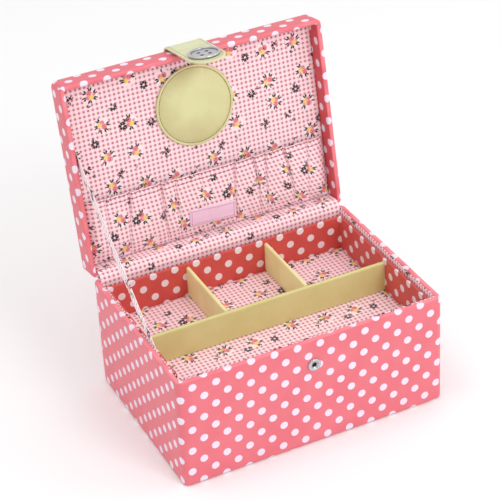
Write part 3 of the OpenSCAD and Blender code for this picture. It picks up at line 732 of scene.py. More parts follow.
def make_stage(scene, sizes, colours):
    """Camera, floor, surround and soft lamps."""
    camera = bpy.data.objects.new("camera", bpy.data.cameras.new("camera"))
    scene.collection.objects.link(camera)
    camera.data.lens = 139.3
    camera.data.sensor_width = 36.0
    azimuth, elevation, roll = math.radians(-24.42), math.radians(32.64), math.radians(-3.43)
    target = Vector((-12.6, 0.0, 157.3)) * MM
    distance = 1.7143
    back = Vector((math.sin(azimuth) * math.cos(elevation), -math.cos(azimuth) * math.cos(elevation),
                   math.sin(elevation)))
    level = Vector((0, 0, 1)).cross(back).normalized()
    upward = back.cross(level)
    right = level * math.cos(roll) + upward * math.sin(roll)
    above = upward * math.cos(roll) - level * math.sin(roll)
    pose = Matrix((right, above, back)).transposed().to_4x4()
    pose.translation = target + back * distance
    camera.matrix_world = pose
    scene.camera = camera
    # plain colours come out as they were mixed
    scene.view_settings.view_transform = "Standard"

    paper, _, shader = finish_of("studio_floor_paper", "#FFFFFF", 0.9)
    shader.inputs["Base Color"].default_value = colours.floor
    floor = object_of("floor", [(-6, -6, 0), (6, -6, 0), (6, 6, 0), (-6, 6, 0)], [(0, 1, 2, 3)], None, paper)
    world = bpy.data.worlds.new("studio")
    scene.world = world
    world.use_nodes = True
    world.node_tree.nodes["Background"].inputs[0].default_value = colours.sky
    world.node_tree.nodes["Background"].inputs[1].default_value = 0.84 * sizes.light
    # name, place, width and power in watts
    lamps = (("key", (0.5, -1.6, 1.5), 0.8, 11),
             ("fill", (1.5, -0.7, 1.2), 1.2, 4),
             ("top", (-0.6, 0.1, 2.1), 0.8, 6))
    lit = Vector((0, 0, 0.12))
    for name, spot, size, power in lamps:
        lamp = bpy.data.lights.new(name, "AREA")
        lamp.shape = "DISK"
        lamp.size = size
        lamp.energy = power * sizes.light
        holder = bpy.data.objects.new(name, lamp)
        holder.location = spot
        holder.rotation_euler = (lit - Vector(spot)).to_track_quat("-Z", "Y").to_euler()
        scene.collection.objects.link(holder)


def make_materials(sizes):
    """Every finish, named for what it is made of, and for painted shade and light where it carries them."""
    posies = posy_group()
    made = MATERIALS
    # coral cotton with white dots, backed with paper: matt with a trace of gloss from its coating
    made["cover"] = dotted_cloth("coated_cotton_coral_dots", "#E7737F", "#E36D79", "#ECDFEE", sizes)
    # the same cloth in a deeper red round the tray: painted shade, for the shade inside the box
    made["tray"] = dotted_cloth("coated_cotton_coral_dots_painted_shade", "#D24E47", "#CA4740", "#EBDCE2", sizes)
    # light woven cotton: pink checks, black leaves and coral and yellow blossoms, quite matt
    made["gingham"] = gingham_cloth("cotton_gingham_posies", posies, sizes, ("#FDE4EA", "#F8D2D9", "#BE7580"))
    # a paler piece of it, folded into the stay
    made["ribbon"] = gingham_cloth("cotton_gingham_ribbon", posies, sizes, ("#FFF7F8", "#F8E2E6", "#DDA3AC"))
    # polyurethane on a cloth back: soft sheen and a fine pebble grain of about 0.7 mm
    leather = dict(roughness=0.48, scale=1400.0, height=0.2 * MM, Coat_Weight=0.1, Coat_Roughness=0.4)
    made["leatherette"] = grained("leatherette_pale_yellow", "#D9D9B0", "#D3D3A8", **leather)
    made["cushion"] = grained("leatherette_soft_yellow", "#D8D69F", "#D3D097", **leather)
    # the same skin without its coat, so the dividers are duller and browner
    dull = dict(roughness=0.5, scale=1400.0, height=0.2 * MM)
    made["divider"] = grained("leatherette_straw", "#D6D08E", "#D0CA86", **dull)
    # painted light: a paler copy of the same skin, for the short dividers, which face sideways
    made["short_divider"] = grained("leatherette_straw_painted_light", "#F0EBAE", "#EAE3A4", **dull)
    # recycled board, grey and fibrous, and the same lined with cream paper
    board = dict(scale=700.0, height=0.2 * MM)
    made["card"] = grained("greyboard", "#A39A8C", "#958C7F", 0.85, **board)
    made["tray_board"] = grained("paper_lined_board", "#D9C7A8", "#CDB998", 0.8, **board)
    # loose white fibres that scatter light softly
    made["foam"] = grained("polyester_wadding", "#F1EEE6", "#E6E2D8", 0.9, 500.0, 0.6 * MM)
    # satin weave: smooth, with a sheen at a low angle
    made["label"] = grained("woven_satin_label", "#F2CDE2", "#EFC6DD", 0.45, 1500.0, 0.1 * MM,
                            Sheen_Weight=0.3)
    # twisted sewing threads, a little shiny
    threads = (("pink", "#CC5E98", "#C4558F"), ("rose", "#A8404C", "#9C3844"),
               ("brown", "#96703F", "#8A6638"), ("peach", "#B8805A", "#AC7650"))
    for tone, colour, shade in threads:
        made[tone + "_thread"] = grained("polyester_thread_" + tone, colour, shade, 0.5, 2500.0, 0.1 * MM)
    # plain coral paper under the box, dry and matt
    made["underside"] = grained("coated_paper_coral", "#EE8089", "#E8767F", 0.7, 900.0, 0.1 * MM)
    # bright plating on the press stud, and the greyer, softer shine of the cast button
    made["steel"] = brushed("nickel_plated_steel", "#C4C4C8", 0.22)
    made["pewter"] = brushed("cast_pewter_button", "#CDCDD0", 0.3)
    # near black, with no shine: painted shade, for the depth seen behind the button's holes and in the stud
    made["backing"] = grained("black_painted_shade", "#241F1E", "#2C2625", 0.9, 1500.0, 0.2 * MM)
    # what a CAD node's name has in it, and the finish that this gives it; a later word wins
    kinds = {"board": "card", "card": "card", "ledge": "card", "foam": "foam", "stuffing": "foam",
             "elastic": "foam", "pincushion_base": "card", "underside": "underside", "socket": "steel",
             "washer": "steel", "snap_ball": "steel", "button_backing": "backing",
             "tray_floor_board": "tray_board"}
    for name, node in frame["nodes"].items():
        for word, kind in kinds.items():
            if word in name:
                node.data.materials.clear()
                node.data.materials.append(made[kind])


def make_base(sizes):
    """The base's cover, wrapped round from under the bottom to inside the rim, and its gingham linings."""
    outline = [(sizes.hem_under, LOW.z), (0, LOW.z), (0, HIGH.z), (RIM, HIGH.z),
               (RIM, HIGH.z - sizes.turn_in)]
    path = refine(fillet(outline, [sizes.foot_edge, sizes.rim_edge, sizes.rim_edge]), 9 * MM)
    inner = thickened(path, 0.9 * COVER)
    along = lengths(path)
    # print height equals height above the floor on the outside
    first = next(k for k, p in enumerate(path) if p.x < 1e-6)
    heights = [value - along[first] + path[first].y for value in along]
    profile = path + inner[::-1]
    heights = heights + heights[::-1] + heights[:1]
    ring = Ring(LOW, HIGH, sizes.corner)
    loops = [[ring.point(k, p.x, p.y) for p in profile] for k in range(len(ring.stations))]
    anchor = (3.6 * MM, 62.4 * MM)
    cover = skin("base_cover", loops, lambda k, j, f: turned_print(ring.around[k], heights[j], anchor),
                 MATERIALS["cover"], wrap=True)
    uneven(cover, 0.12 * MM, 22 * MM)
    stud_low, stud_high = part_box("snap_socket")
    spot = Vector((0, LOW.y - 3 * MM, (stud_low.z + stud_high.z) / 2))
    bore(cover, [cutter(spot, (0, 1, 0), 2.9 * MM, 8 * MM, MATERIALS["cover"])])
    wear_and_shade(cover, lambda p: rubbed(HIGH.z - p.z, p))
    place(cover, "base", "polka_cover", "base_outer_cover")

    # the lining's top edge is folded, and it stops low at the back, where the hinge lining takes over
    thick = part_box("base_floor_lining")[0].x - HOLE_LOW.x
    back_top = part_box("hinge_lining")[0].z
    gap = 0.05 * MM
    edge = fillet([(thick, HOLE_LOW.z), (thick, HOLE_HIGH.z), (gap, HOLE_HIGH.z), (gap, HOLE_LOW.z)],
                  [0.5 * MM, 0.5 * MM])
    run = lengths(edge)[::-1] + [0.0]
    ring = Ring(HOLE_LOW, HOLE_HIGH, 0.35 * MM, arc=2)

    def lining_point(k, p):
        height = p.y
        if ring.stations[k][0] == 3 and height > back_top:
            height = back_top - 0.2 * MM
        return ring.point(k, p.x, height)

    loops = [[lining_point(k, p) for p in edge[::-1]] for k in range(len(ring.stations))]
    lining = skin("base_wall_lining_cloth", loops, lambda k, j, f: (ring.around[k], run[j] + 2.6 * MM),
                  MATERIALS["gingham"], wrap=True)
    place(lining, "base", "gingham_lining", "base_wall_lining")

    low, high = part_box("base_floor_lining")
    floor = flat_lining("base_floor_lining_cloth", low, high, 0.35 * MM, 0.4 * MM)
    place(floor, "base", "gingham_lining", "base_floor_lining")

    low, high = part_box("base_underside_sheet")


def flat_lining(name, low, high, dip, wave):
    """A gingham sheet over card that fills a node's box, a little rounded at its edges and not quite flat."""
    size = high - low

    def at(s, t):
        x, y = low.x + size.x * s, low.y + size.y * t
        edge = min(s * size.x, (1 - s) * size.x, t * size.y, (1 - t) * size.y)
        fall = dip * max(0.0, 1 - edge / (2.5 * MM)) ** 2
        lift = wave * (noise.noise(Vector((x, y, 0)) / (30 * MM)) - 0.6)
        return Vector((x, y, high.z - fall + min(lift, 0.0)))

    return cloth(name, 96, 72, at, 0.75 * size.z, lambda s, t: (low.x + size.x * s, low.y + size.y * t),
                 MATERIALS["gingham"])


def make_lid(sizes):
    """The lid's cover, over the top, down the walls, round the rim and up inside to the panel."""
    inside = shut_box("lid_left_board")[1].z
    border = 12 * MM
    outline = [(RIM, inside), (RIM, LID_LOW.z), (0, LID_LOW.z), (0, LID_HIGH.z), (border, LID_HIGH.z)]
    path = refine(fillet(outline, [sizes.rim_edge, sizes.rim_edge, sizes.lid_edge]), 6 * MM)
    inner = thickened(path, 0.9 * COVER)
    along = lengths(path)
    out = [along[-1] - value for value in along]
    profile = inner[::-1] + path
    out = out[::-1] + out
    ring = Ring(LID_LOW, LID_HIGH, sizes.corner)
    loops = [[ring.point(k, p.x, p.y) for p in profile] for k in range(len(ring.stations))]
    middles = []
    for side in range(4):
        run = 2 * ((ring.half.y if side % 2 == 0 else ring.half.x) - ring.corner)
        first = next(s for s in ring.stations if s[0] == side)
        middles.append(first[3] - ring.start + run / 2)
    anchor = (1.5 * MM, -4.0 * MM)

    def spread(k, j, face):
        """The print as if the cover were unfolded flat, with a seam at the middle of each corner."""
        side, _, turn, _ = ring.stations[face]
        if turn >= 0.5:
            side = (side + 1) % 4
        away = SIDES[side]
        ahead = Vector((-away.y, away.x))
        depth = ring.half.x if side % 2 == 0 else ring.half.y
        along_side = ring.around[k] - middles[side]
        if side == 0 and along_side > ring.total / 2:
            along_side -= ring.total
        flat = away * (depth - border + out[j]) + ahead * along_side
        return turned_print(flat.x, flat.y, anchor)

    cover = skin("lid_cover", loops, spread, MATERIALS["cover"], wrap=True, open_profile=True,
                 cap_print=lambda p: turned_print(p.x, p.y, anchor))
    uneven(cover, 0.1 * MM, 22 * MM)
    recess = ring.half - Vector((RIM, RIM)) * 0.9

    def shade(p):
        """Worn at the rim; painted shade, deep inside the lid, and a little painted shade on the outside, so
        that it is darker than the base.
        """
        off = p.xy - ring.middle
        if abs(off.x) < recess.x and abs(off.y) < recess.y and p.z < inside + 1 * MM:
            # painted shade over the inside of the lid
            return -0.85
        # rim wear, less a little painted shade over the lid's outside
        return rubbed(p.z - LID_LOW.z, p) - 0.2

    wear_and_shade(cover, shade)
    opened(cover)
    place(cover, "lid", "polka_cover", "lid_outer_cover")


def make_panel():
    """The padded panel in the lid: gingham pulled over wadding on card, round at its edges."""
    low, high = PANEL_LOW, PANEL_HIGH
    size = high - low
    wrap = 3.4 * MM

    def at(s, t):
        x, y = low.x + size.x * s, low.y + size.y * t
        edge = min(s * size.x, (1 - s) * size.x, t * size.y, (1 - t) * size.y)
        # the wadding fills the same outline, so the cloth stays in front of it to the very edge
        fall = 0.55 * MM * (max(0.0, 1 - edge / wrap)) ** 2.2
        soft = 0.3 * MM * noise.noise(Vector((x, y, 3)) / (34 * MM))
        return Vector((x, y, low.z + 0.15 * MM + fall + soft * min(1.0, edge / (8 * MM))))

    def stations(value, length):
        """Crowds points where the cloth turns over the edge: 8 in 100 of them on each rim."""
        rim, share = wrap / length, 0.08
        if value < share:
            return rim * value / share
        if value > 1 - share:
            return 1 - rim * (1 - value) / share
        return rim + (1 - 2 * rim) * (value - share) / (1 - 2 * share)

    def print_at(s, t):
        return (low.x + size.x * stations(s, size.x) + 6 * MM,
                5 * MM - low.y - size.y * stations(1 - t, size.y))

    panel = cloth("lid_panel_cloth", 100, 75, lambda s, t: at(stations(s, size.x), stations(1 - t, size.y)),
                  0.7 * MM, print_at, MATERIALS["gingham"])
    opened(panel)
    place(panel, "lid", "gingham_lining", "lid_panel_fabric")


# place across, depth and lean of each pleat in mm
PLEATS = ((-104, 1.6, 3), (-78, 3.6, -6), (-47, 3.8, 2), (-31, 2.4, -3), (-6, 1.0, 2), (28, 3.2, -3),
          (48, 3.6, 4), (60, 2.8, -2), (81, 3.8, 6), (104, 2.0, -2))


def pleats_at(x, u):
    """How deep the pleats' folds are at a place, and how much cloth those passed so far take in, in mm."""
    depth, tucked = 0.0, 0.0
    for centre, deep, lean in PLEATS:
        # a pleat wanders a little from the mouth to the bottom, where it fades
        gap = x / MM - centre - lean * (1 - u) - 0.8 * math.sin(u * 5 + centre)
        strength = 0.35 + 0.65 * u ** 0.8
        if gap < 0:
            depth += deep * strength * math.exp(gap / 2.2)
        else:
            depth += deep * strength * (math.exp(-gap / 0.5) - 0.3 * math.exp(-(gap - 2) ** 2 / 30)
                                        * min(1.0, gap))
        tucked += 1.9 * deep * strength / (1 + math.exp(-gap / 0.4))
    return depth, tucked


def pocket_height(x, u, sizes):
    """How far the pocket's cloth stands off the panel, at x across and u from bottom seam to mouth."""
    side = min(1.0, (POCKET_HIGH.x - abs(x)) / (11 * MM))
    full = math.sin(min(1.0, u / 0.3) * math.pi / 2) ** 0.8 * (0.86 + 0.12 * math.sin(u * math.pi))
    height = 7.6 * full * math.sin(side * math.pi / 2) ** 0.7
    ripple = 0.4 * math.sin(x / POCKET_HIGH.x * math.pi * sizes.gathers + 2 * math.sin(x / (19 * MM)))
    loose = 0.9 * noise.noise(Vector((x / (17 * MM), u * 1.8, 4.0))) * math.sin(u * math.pi)
    fold = pleats_at(x, u)[0] - ripple * u ** 3 - loose
    height -= fold * min(1.0, u / 0.12) * side
    return min(max(height, 0.9), 8.6) * MM


def make_pocket(sizes):
    """The gathered pocket across the lid's panel, with its hem, its elastic's gathers and its label."""
    top, bottom = POCKET_LOW.y, POCKET_HIGH.y
    reach = bottom - top
    hem = 6.5 * MM

    def at(s, t):
        x = POCKET_LOW.x + (POCKET_HIGH.x - POCKET_LOW.x) * s
        y = bottom - reach * t
        height = pocket_height(x, t, sizes)
        from_mouth = reach * (1 - t)
        if from_mouth < hem:
            bulge = math.sin(math.pi * from_mouth / hem) ** 0.5
            height += 0.65 * MM * bulge
        else:
            height -= 0.45 * MM * math.exp(-((from_mouth - hem) / (1.1 * MM)) ** 2)
        # the mouth sags a little between its two ends
        y += 0.54 * MM * t * math.sin(s * math.pi)
        return Vector((x, y, PANEL_LOW.z - height))

    def pocket_print(s, t):
        x = POCKET_LOW.x + (POCKET_HIGH.x - POCKET_LOW.x) * s
        return (x + pleats_at(x, t)[1] * MM + 3 * MM, reach * t + 9 * MM)

    pocket = cloth("pocket_cloth", 460, 64, at, 0.7 * MM, pocket_print, MATERIALS["gingham"])
    opened(pocket)
    place(pocket, "lid", "gingham_lining", "lid_pocket", "pocket_elastic")

    def sewn_across(name, from_mouth, lift):
        """A line of stitches along the pocket, proud of its cloth by lift."""
        count, margin = 240, 0.012
        line = []
        for k in range(count + 1):
            point = at(margin + (1 - 2 * margin) * k / count, 1 - from_mouth / reach)
            point.z -= lift
            line.append(OPEN @ point)
        return stitches(name, [line], "rose", "lid", "gingham_lining", sizes.stitch_pitch, 2.9 * MM,
                        0.85 * MM)

    hems = [sewn_across("pocket_hem_stitches", hem, 0.1 * MM),
            sewn_across("pocket_mouth_stitches", 1.3 * MM, 0.05 * MM)]

    low, high = shut_box("pocket_label")
    width, height = 48 * MM, 16.5 * MM
    turn = Matrix.Rotation(math.radians(3.5), 2)
    middle = Vector(((low.x + high.x) / 2, (low.y + high.y) / 2))

    def label_at(s, t, lift=0.0):
        flat = middle + turn @ Vector(((s - 0.5) * width, (0.5 - t) * height))
        u = (bottom - flat.y) / reach
        near = max(pocket_height(flat.x, u, sizes), 6.6 * MM)
        return Vector((flat.x, flat.y, PANEL_LOW.z - near - 0.6 * MM - lift))

    label = cloth("pocket_label_cloth", 24, 10, label_at, 0.45 * MM, lambda s, t: (s * width, t * height),
                  MATERIALS["label"])
    opened(label)
    place(label, "lid", "woven_label", "pocket_label")
    lines = []
    corners = [(0.05, 0.13), (0.95, 0.13), (0.95, 0.87), (0.05, 0.87), (0.05, 0.13)]
    for a, b in zip(corners, corners[1:]):
        lines.append([OPEN @ label_at(a[0] + (b[0] - a[0]) * k / 20, a[1] + (b[1] - a[1]) * k / 20, 0.05 * MM)
                      for k in range(21)])
    border = stitches("label_stitches", lines, "pink", "lid", "woven_label", 2.4 * MM, 1.8 * MM, 0.6 * MM)


def make_pincushion():
    """The round pincushion: a domed leatherette cushion with a flat sewn flange."""
    low, high = shut_box("pincushion_cover")
    radius = (high.x - low.x) / 2
    middle = Vector(((low.x + high.x) / 2, (low.y + high.y) / 2, high.z))
    rise = high.z - low.z
    dome = radius - 3.3 * MM
    seam_depth = 0.55 * MM
    steps = 22
    upper = []
    for k in range(steps + 1):
        # steep at the seam, and nearly flat over the middle
        fullness = math.sin(min(1.0, 1.35 * k / steps + 0.02) * math.pi / 2) ** 0.85
        upper.append((dome * (1 - k / steps), seam_depth + (rise - seam_depth) * fullness))
    flange = [(0, 0), (radius - 0.5 * MM, 0), (radius, 0.3 * MM), (radius - 0.05 * MM, 0.8 * MM),
              (radius - 0.6 * MM, 1.25 * MM), (dome + 1.4 * MM, 1.3 * MM), (dome + 0.5 * MM, 0.75 * MM)]

    def pucker(r, angle):
        """Small gathers near the seam and soft lumps over the dome; the flange's edge stays flat."""
        if r >= radius - 2 * MM:
            return 0.0
        near = math.exp(-((r - dome * 0.93) / (4.5 * MM)) ** 2)
        lift = 0.22 * math.sin(angle * 31 + 1.5 * math.sin(angle * 5)) * near
        if r < dome:
            lift += 0.5 * noise.noise(Vector((r * math.cos(angle), r * math.sin(angle), 0)) / (16 * MM))
        return lift * MM

    cushion = lathe("pincushion_cloth", flange + upper, middle, (0, 0, -1), MATERIALS["cushion"], 128, pucker)
    opened(cushion)
    place(cushion, "lid", "yellow_leatherette", "pincushion_cover", "pincushion_stuffing")
    sewn = dome + 0.75 * MM
    angles = [math.tau * k / 180 for k in range(181)]
    line = [OPEN @ (middle + Vector((sewn * math.cos(a), sewn * math.sin(a), -1.0 * MM))) for a in angles]
    stitches("pincushion_stitches", [line], "brown", "lid", "yellow_leatherette", 2.4 * MM, 2.35 * MM,
             0.65 * MM)


def make_hinge():
    """The cloth bands across the hinge, inside and outside, and the stay."""
    low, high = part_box("hinge_lining")
    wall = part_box("base_back_board")[0].y - COVER
    thick = wall - low.y
    panel = shut_box("lid_panel_fabric")[0].z
    lid_wall = HINGE.y - RIM - 0.05 * MM - thick
    near = OPEN @ Vector((0, lid_wall, LID_LOW.z + 0.5 * MM))
    far = OPEN @ Vector((0, lid_wall, panel - 0.1 * MM))
    start = Vector((low.y, HIGH.z - 1 * MM))
    end = near.yz
    # stuffed a little, so that it rounds over both rims
    top = (start + end) / 2 + Vector((-1.0, 1.0)) * 1.5 * MM
    radii = [3.5 * MM, 4.5 * MM, 3.5 * MM]
    path = refine(fillet([(low.y, low.z), start, top, end, far.yz], radii, 8), 2 * MM)
    band = cloth_band("hinge_lining_cloth", path, low.x, high.x, 1.0 * MM, MATERIALS["gingham"], 0.22 * MM)
    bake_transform(band)
    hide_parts("hinge_lining")
    lengths(path)[-1]

    low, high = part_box("hinge_spine")
    thick = 0.6 * MM
    far = OPEN @ Vector((0, HINGE.y + 0.05 * MM + thick, HINGE.z + 16 * MM))
    path = [(HIGH.y + thick, low.z), (HIGH.y + thick, HINGE.z - 0.75 * MM), (far.y, far.z)]
    path = refine(fillet(path, [1.2 * MM], 8), 2 * MM)[::-1]
    spine = cloth_band("hinge_spine_cloth", path, low.x, high.x, 0.5 * MM, MATERIALS["cover"], 0.0)
    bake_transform(spine)
    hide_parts("hinge_spine")
    lengths(path)[-1]

    make_ribbon(panel)


def make_ribbon(panel):
    """The stay: a folded ribbon, taut from the base's left wall to the open lid's panel."""
    low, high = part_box("stay_ribbon")
    middle = (low.x + high.x) / 2
    # the middles of the two ends of the CAD node, which is a thin plate
    points = [v.co for v in frame["nodes"]["stay_ribbon"].data.vertices]
    corners = sorted({(round(p.y, 6), round(p.z, 6)) for p in points}, key=lambda p: p[0])
    a, b = [Vector((0, (p[0] + q[0]) / 2, (p[1] + q[1]) / 2)) for p, q in (corners[:2], corners[-2:])]
    run = b - a
    side = Vector((0, -run.z, run.y)).normalized()
    width = 11 * MM
    normal = (OPEN.to_3x3() @ Vector((0, 0, 1)))
    anchor = OPEN @ Vector((0, 0, panel - 0.05 * MM))

    def ribbon_at(s, t):
        """The front end is square, and the far end is cut along the panel."""
        edge = a + side * (width * (0.5 - s))
        hit = (anchor - edge).dot(normal) / run.dot(normal)
        point = edge + run * (hit * t)
        waver = 0.12 * MM * math.sin(t * 9) * math.sin(t * math.pi) + 0.06 * MM * math.cos(s * math.tau)
        return Vector((middle + waver, point.y, point.z))

    ribbon = cloth("stay_ribbon_cloth", 8, 90, ribbon_at, 0.4 * MM,
                   lambda s, t: (s * width + 4 * MM, t * run.length + 2 * MM), MATERIALS["ribbon"],
                   offset=0.0)
    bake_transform(ribbon)
    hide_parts("stay_ribbon")


def cloth_band(name, path, left, right, thickness, material, pucker):
    """A band of cloth from left to right that follows a path of (y, z), thickened to the path's right."""
    inner = thickened(path, thickness)
    along = lengths(path)
    profile = path + inner[::-1]
    along = along + along[::-1] + along[:1]
    count = 84
    stations = [left + (right - left) * k / count for k in range(count + 1)]
    loops = []
    for x in stations:
        loop = []
        for j, p in enumerate(profile):
            swell = pucker * noise.noise(Vector((x / (11 * MM), along[j] / (9 * MM), 2.0)))
            loop.append(Vector((x, p.x - swell, p.y + swell)))
        loops.append(loop)
    return skin(name, loops, lambda k, j, f: (stations[k] + 2 * MM, along[j] + 11 * MM), material, sharp=50)


def strip(name, spine, widths, outward, thickness, material, edge):
    """A flat strap along a spine, with half widths and the way it faces at each point, and round edges."""
    loops = []
    for k, point in enumerate(spine):
        half = max(widths[k], edge * 1.05)
        outline = rounded_bar(2 * half, thickness, edge)
        loops.append([point + Vector((p.x, 0, 0)) + outward[k] * p.y for p in outline])
    return face_outwards(skin(name, loops, lambda k, j, f: (0.0, 0.0), material, sharp=60))


def make_strap(sizes):
    """The strap: the end glued on the lid with its two seams, and the free flap."""
    low, high = shut_box("strap_anchor")
    half = (high.x - low.x) / 2
    layer = 1.0 * MM
    outer_y, top_z = low.y, high.z
    bend = sizes.lid_edge + 2.2 * MM + layer
    corners = [(high.y, top_z - layer), (outer_y + layer, top_z - layer), (outer_y + layer, low.z)]
    path = refine(fillet(corners, [bend], 12), 3 * MM)
    spine, out = [], []
    for k, p in enumerate(path):
        run = path[min(k + 1, len(path) - 1)] - path[max(k - 1, 0)]
        spine.append(Vector((0, p.x, p.y)))
        out.append(Vector((0, run.y, -run.x)).normalized())
    anchor = strip("strap_fixed_end", spine, [half] * len(spine), out, 2 * layer, MATERIALS["leatherette"],
                   0.8 * MM)
    opened(anchor)
    place(anchor, "lid", "yellow_leatherette", "strap_anchor")
    lines = [[OPEN @ (p + Vector((side * (half - STRAP_SEAM), 0, 0)) + o * layer) for p, o in zip(spine, out)]
             for side in (-1, 1)]
    thread = (sizes.stitch_pitch, 2.8 * MM, 0.5 * MM)
    seams = stitches("strap_fixed_stitches", lines, "peach", "lid", "yellow_leatherette", *thread)
    lengths(path)[-1]
    make_flap(half, layer, thread)


def make_flap(half, layer, thread):
    """The strap's free flap: two layers sewn together, round at the end."""
    low = shut_box("strap_outer")[0]
    tip, top, face = low.z, HINGE.z, low.y
    reach = top - tip
    steps = 14
    heights = [top + 0.7 * MM] + [top - (reach - half) * k / steps for k in range(1, steps + 1)]
    heights += [tip + half - half * math.sin(math.pi / 2 * k / steps) for k in range(1, steps + 1)]
    widths = [math.sqrt(max(half ** 2 - max(tip + half - z, 0.0) ** 2, 0.0)) for z in heights]

    def layer_of(name, y, trim, node):
        centre = [Vector((0, y, z + (trim if z < tip + 2 * MM else 0))) for z in heights]
        piece = strip(name, centre, [w - trim for w in widths], [Vector((0, -1, 0))] * len(centre), layer,
                      MATERIALS["leatherette"], 0.45 * MM)
        opened(piece)
        place(piece, "strap", "yellow_leatherette", node)
        return piece

    front = layer_of("strap_front_layer", face + layer / 2, 0.0, "strap_outer")
    behind = layer_of("strap_back_layer", face + layer * 1.5, 0.35 * MM, "strap_lining")
    in_seam, proud = half - STRAP_SEAM, face - 0.02 * MM
    right = [Vector((in_seam, proud, z)) for z in heights if z >= tip + half]
    arc = [Vector((in_seam * math.cos(a), proud, tip + half - in_seam * math.sin(a)))
           for a in [math.pi * k / 40 for k in range(1, 40)]]
    left = [Vector((-p.x, p.y, p.z)) for p in reversed(right)]
    edge = [OPEN @ p for p in right + arc + left]
    sewn = stitches("strap_stitches", [edge], "peach", "strap", "yellow_leatherette", *thread)


def make_button():
    """The four-hole metal button: a raised rim, a dish and bevelled holes, dark in its hollows with tarnish
    and painted shade.
    """
    low, high = shut_box("button_cap")
    radius = (high.x - low.x) / 2
    height = high.y - low.y
    middle = Vector(((low.x + high.x) / 2, high.y, (low.z + high.z) / 2))
    rim = [(0, 0), (radius - 0.9 * MM, 0), (radius - 0.25 * MM, 0.25 * MM), (radius, 0.9 * MM)]
    rim += half_round(radius - 1.45 * MM, height - 1.0 * MM, 1.45 * MM, 1.0 * MM)
    rim += [(radius - 3.0 * MM, height - 1.35 * MM), (radius - 4.2 * MM, height - 1.5 * MM),
            (radius * 0.4, height - 1.6 * MM), (0, height - 1.6 * MM)]
    button = lathe("metal_button", rim, middle, (0, -1, 0), MATERIALS["pewter"], 96)
    # half the holes' pitch, and their radius
    pitch, hole = 7.9 * MM / 2, 3.6 * MM / 2
    cutters = []
    for sx in (-1, 1):
        for sz in (-1, 1):
            spot = middle + Vector((sx * pitch, 1 * MM, sz * pitch))
            cutters.append(cutter(spot, (0, -1, 0), hole, 5 * MM, MATERIALS["pewter"]))
    bore(button, cutters)
    soften = button.modifiers.new("edges", "BEVEL")
    soften.width = 0.22 * MM
    soften.segments = 2
    soften.angle_limit = math.radians(50)
    settle(button)

    def tarnish_and_shade(p):
        """Painted shade in the holes and under the rim, and tarnish with painted shade in the groove inside
        the rim.
        """
        away = math.hypot(p.x - middle.x, p.z - middle.z)
        groove = max(0.0, 1 - abs(away - (radius - 3.3 * MM)) / (0.8 * MM))
        to_hole = math.hypot(abs(p.x - middle.x) - pitch, abs(p.z - middle.z) - pitch)
        below = p.y - (middle.y - height)
        return max(0.95 * groove, 0.9 if to_hole < hole * 0.97 else 0.0, 0.6 if below > 2.4 * MM else 0.0)

    wear_and_shade(button, tarnish_and_shade)
    opened(button)
    place(button, "strap", "button_metal", "button_cap")


def make_snap():
    """The press stud's ring on the front of the base."""
    low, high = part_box("snap_socket")
    radius = (high.x - low.x) / 2
    proud = LOW.y - low.y
    middle = Vector(((low.x + high.x) / 2, LOW.y, (low.z + high.z) / 2))
    mouth = 2.3 * MM
    profile = [(0, -4 * MM), (mouth + 0.4 * MM, -4 * MM), (mouth + 0.4 * MM, 0), (radius - 0.2 * MM, 0)]
    profile += half_round(radius - 1.3 * MM, proud - 0.9 * MM, 1.3 * MM, 0.9 * MM)
    profile += [(radius - 2.9 * MM, proud - 1.15 * MM), (mouth + 0.9 * MM, proud - 1.1 * MM),
                (mouth + 0.3 * MM, proud - 0.8 * MM), (mouth, proud - 1.1 * MM), (mouth, -3 * MM),
                (0, -3 * MM)]
    stud = lathe("press_stud_ring", profile, middle, (0, -1, 0), MATERIALS["steel"], 72)
    place(stud, "base", "snap_metal", "snap_socket")
    # a near black disc down in the stud's mouth: painted shade
    inner, floor, top = mouth - 0.05 * MM, -2.95 * MM, -0.6 * MM
    well = lathe("press_stud_well", [(0, floor), (inner, floor), (inner, top), (0, top)], middle, (0, -1, 0),
                 MATERIALS["backing"], 36)
    place(well, "base", "button_backing")


def make_tray():
    """The lift-out tray: covered walls, gingham floor and three leatherette dividers."""
    low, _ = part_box("tray_front_wall")
    _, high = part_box("tray_back_wall")
    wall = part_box("tray_front_wall")[1].y - low.y
    outline = [(0, low.z), (0, high.z), (wall, high.z), (wall, low.z)]
    edge = refine(fillet(outline, [1.2 * MM, 1.2 * MM], 5), 9 * MM)
    along = lengths(edge) + [0.0]
    ring = Ring(low, high, 1.0 * MM, arc=4)
    loops = [[ring.point(k, p.x, p.y) for p in edge] for k in range(len(ring.stations))]
    walls = skin("tray_walls", loops, lambda k, j, f: (ring.around[k] - 2 * MM, along[j] + 2 * MM),
                 MATERIALS["tray"], wrap=True)
    uneven(walls, 0.08 * MM, 20 * MM)
    place(walls, "tray", "tray_cover", "tray_front_wall", "tray_back_wall", "tray_left_wall",
          "tray_right_wall")

    low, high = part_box("tray_floor_lining")
    floor = flat_lining("tray_floor_cloth", low, high, 0.3 * MM, 0.3 * MM)
    place(floor, "tray", "gingham_lining", "tray_floor_lining")
    for node in ("long_divider", "short_divider_left", "short_divider_right"):
        divider(node)


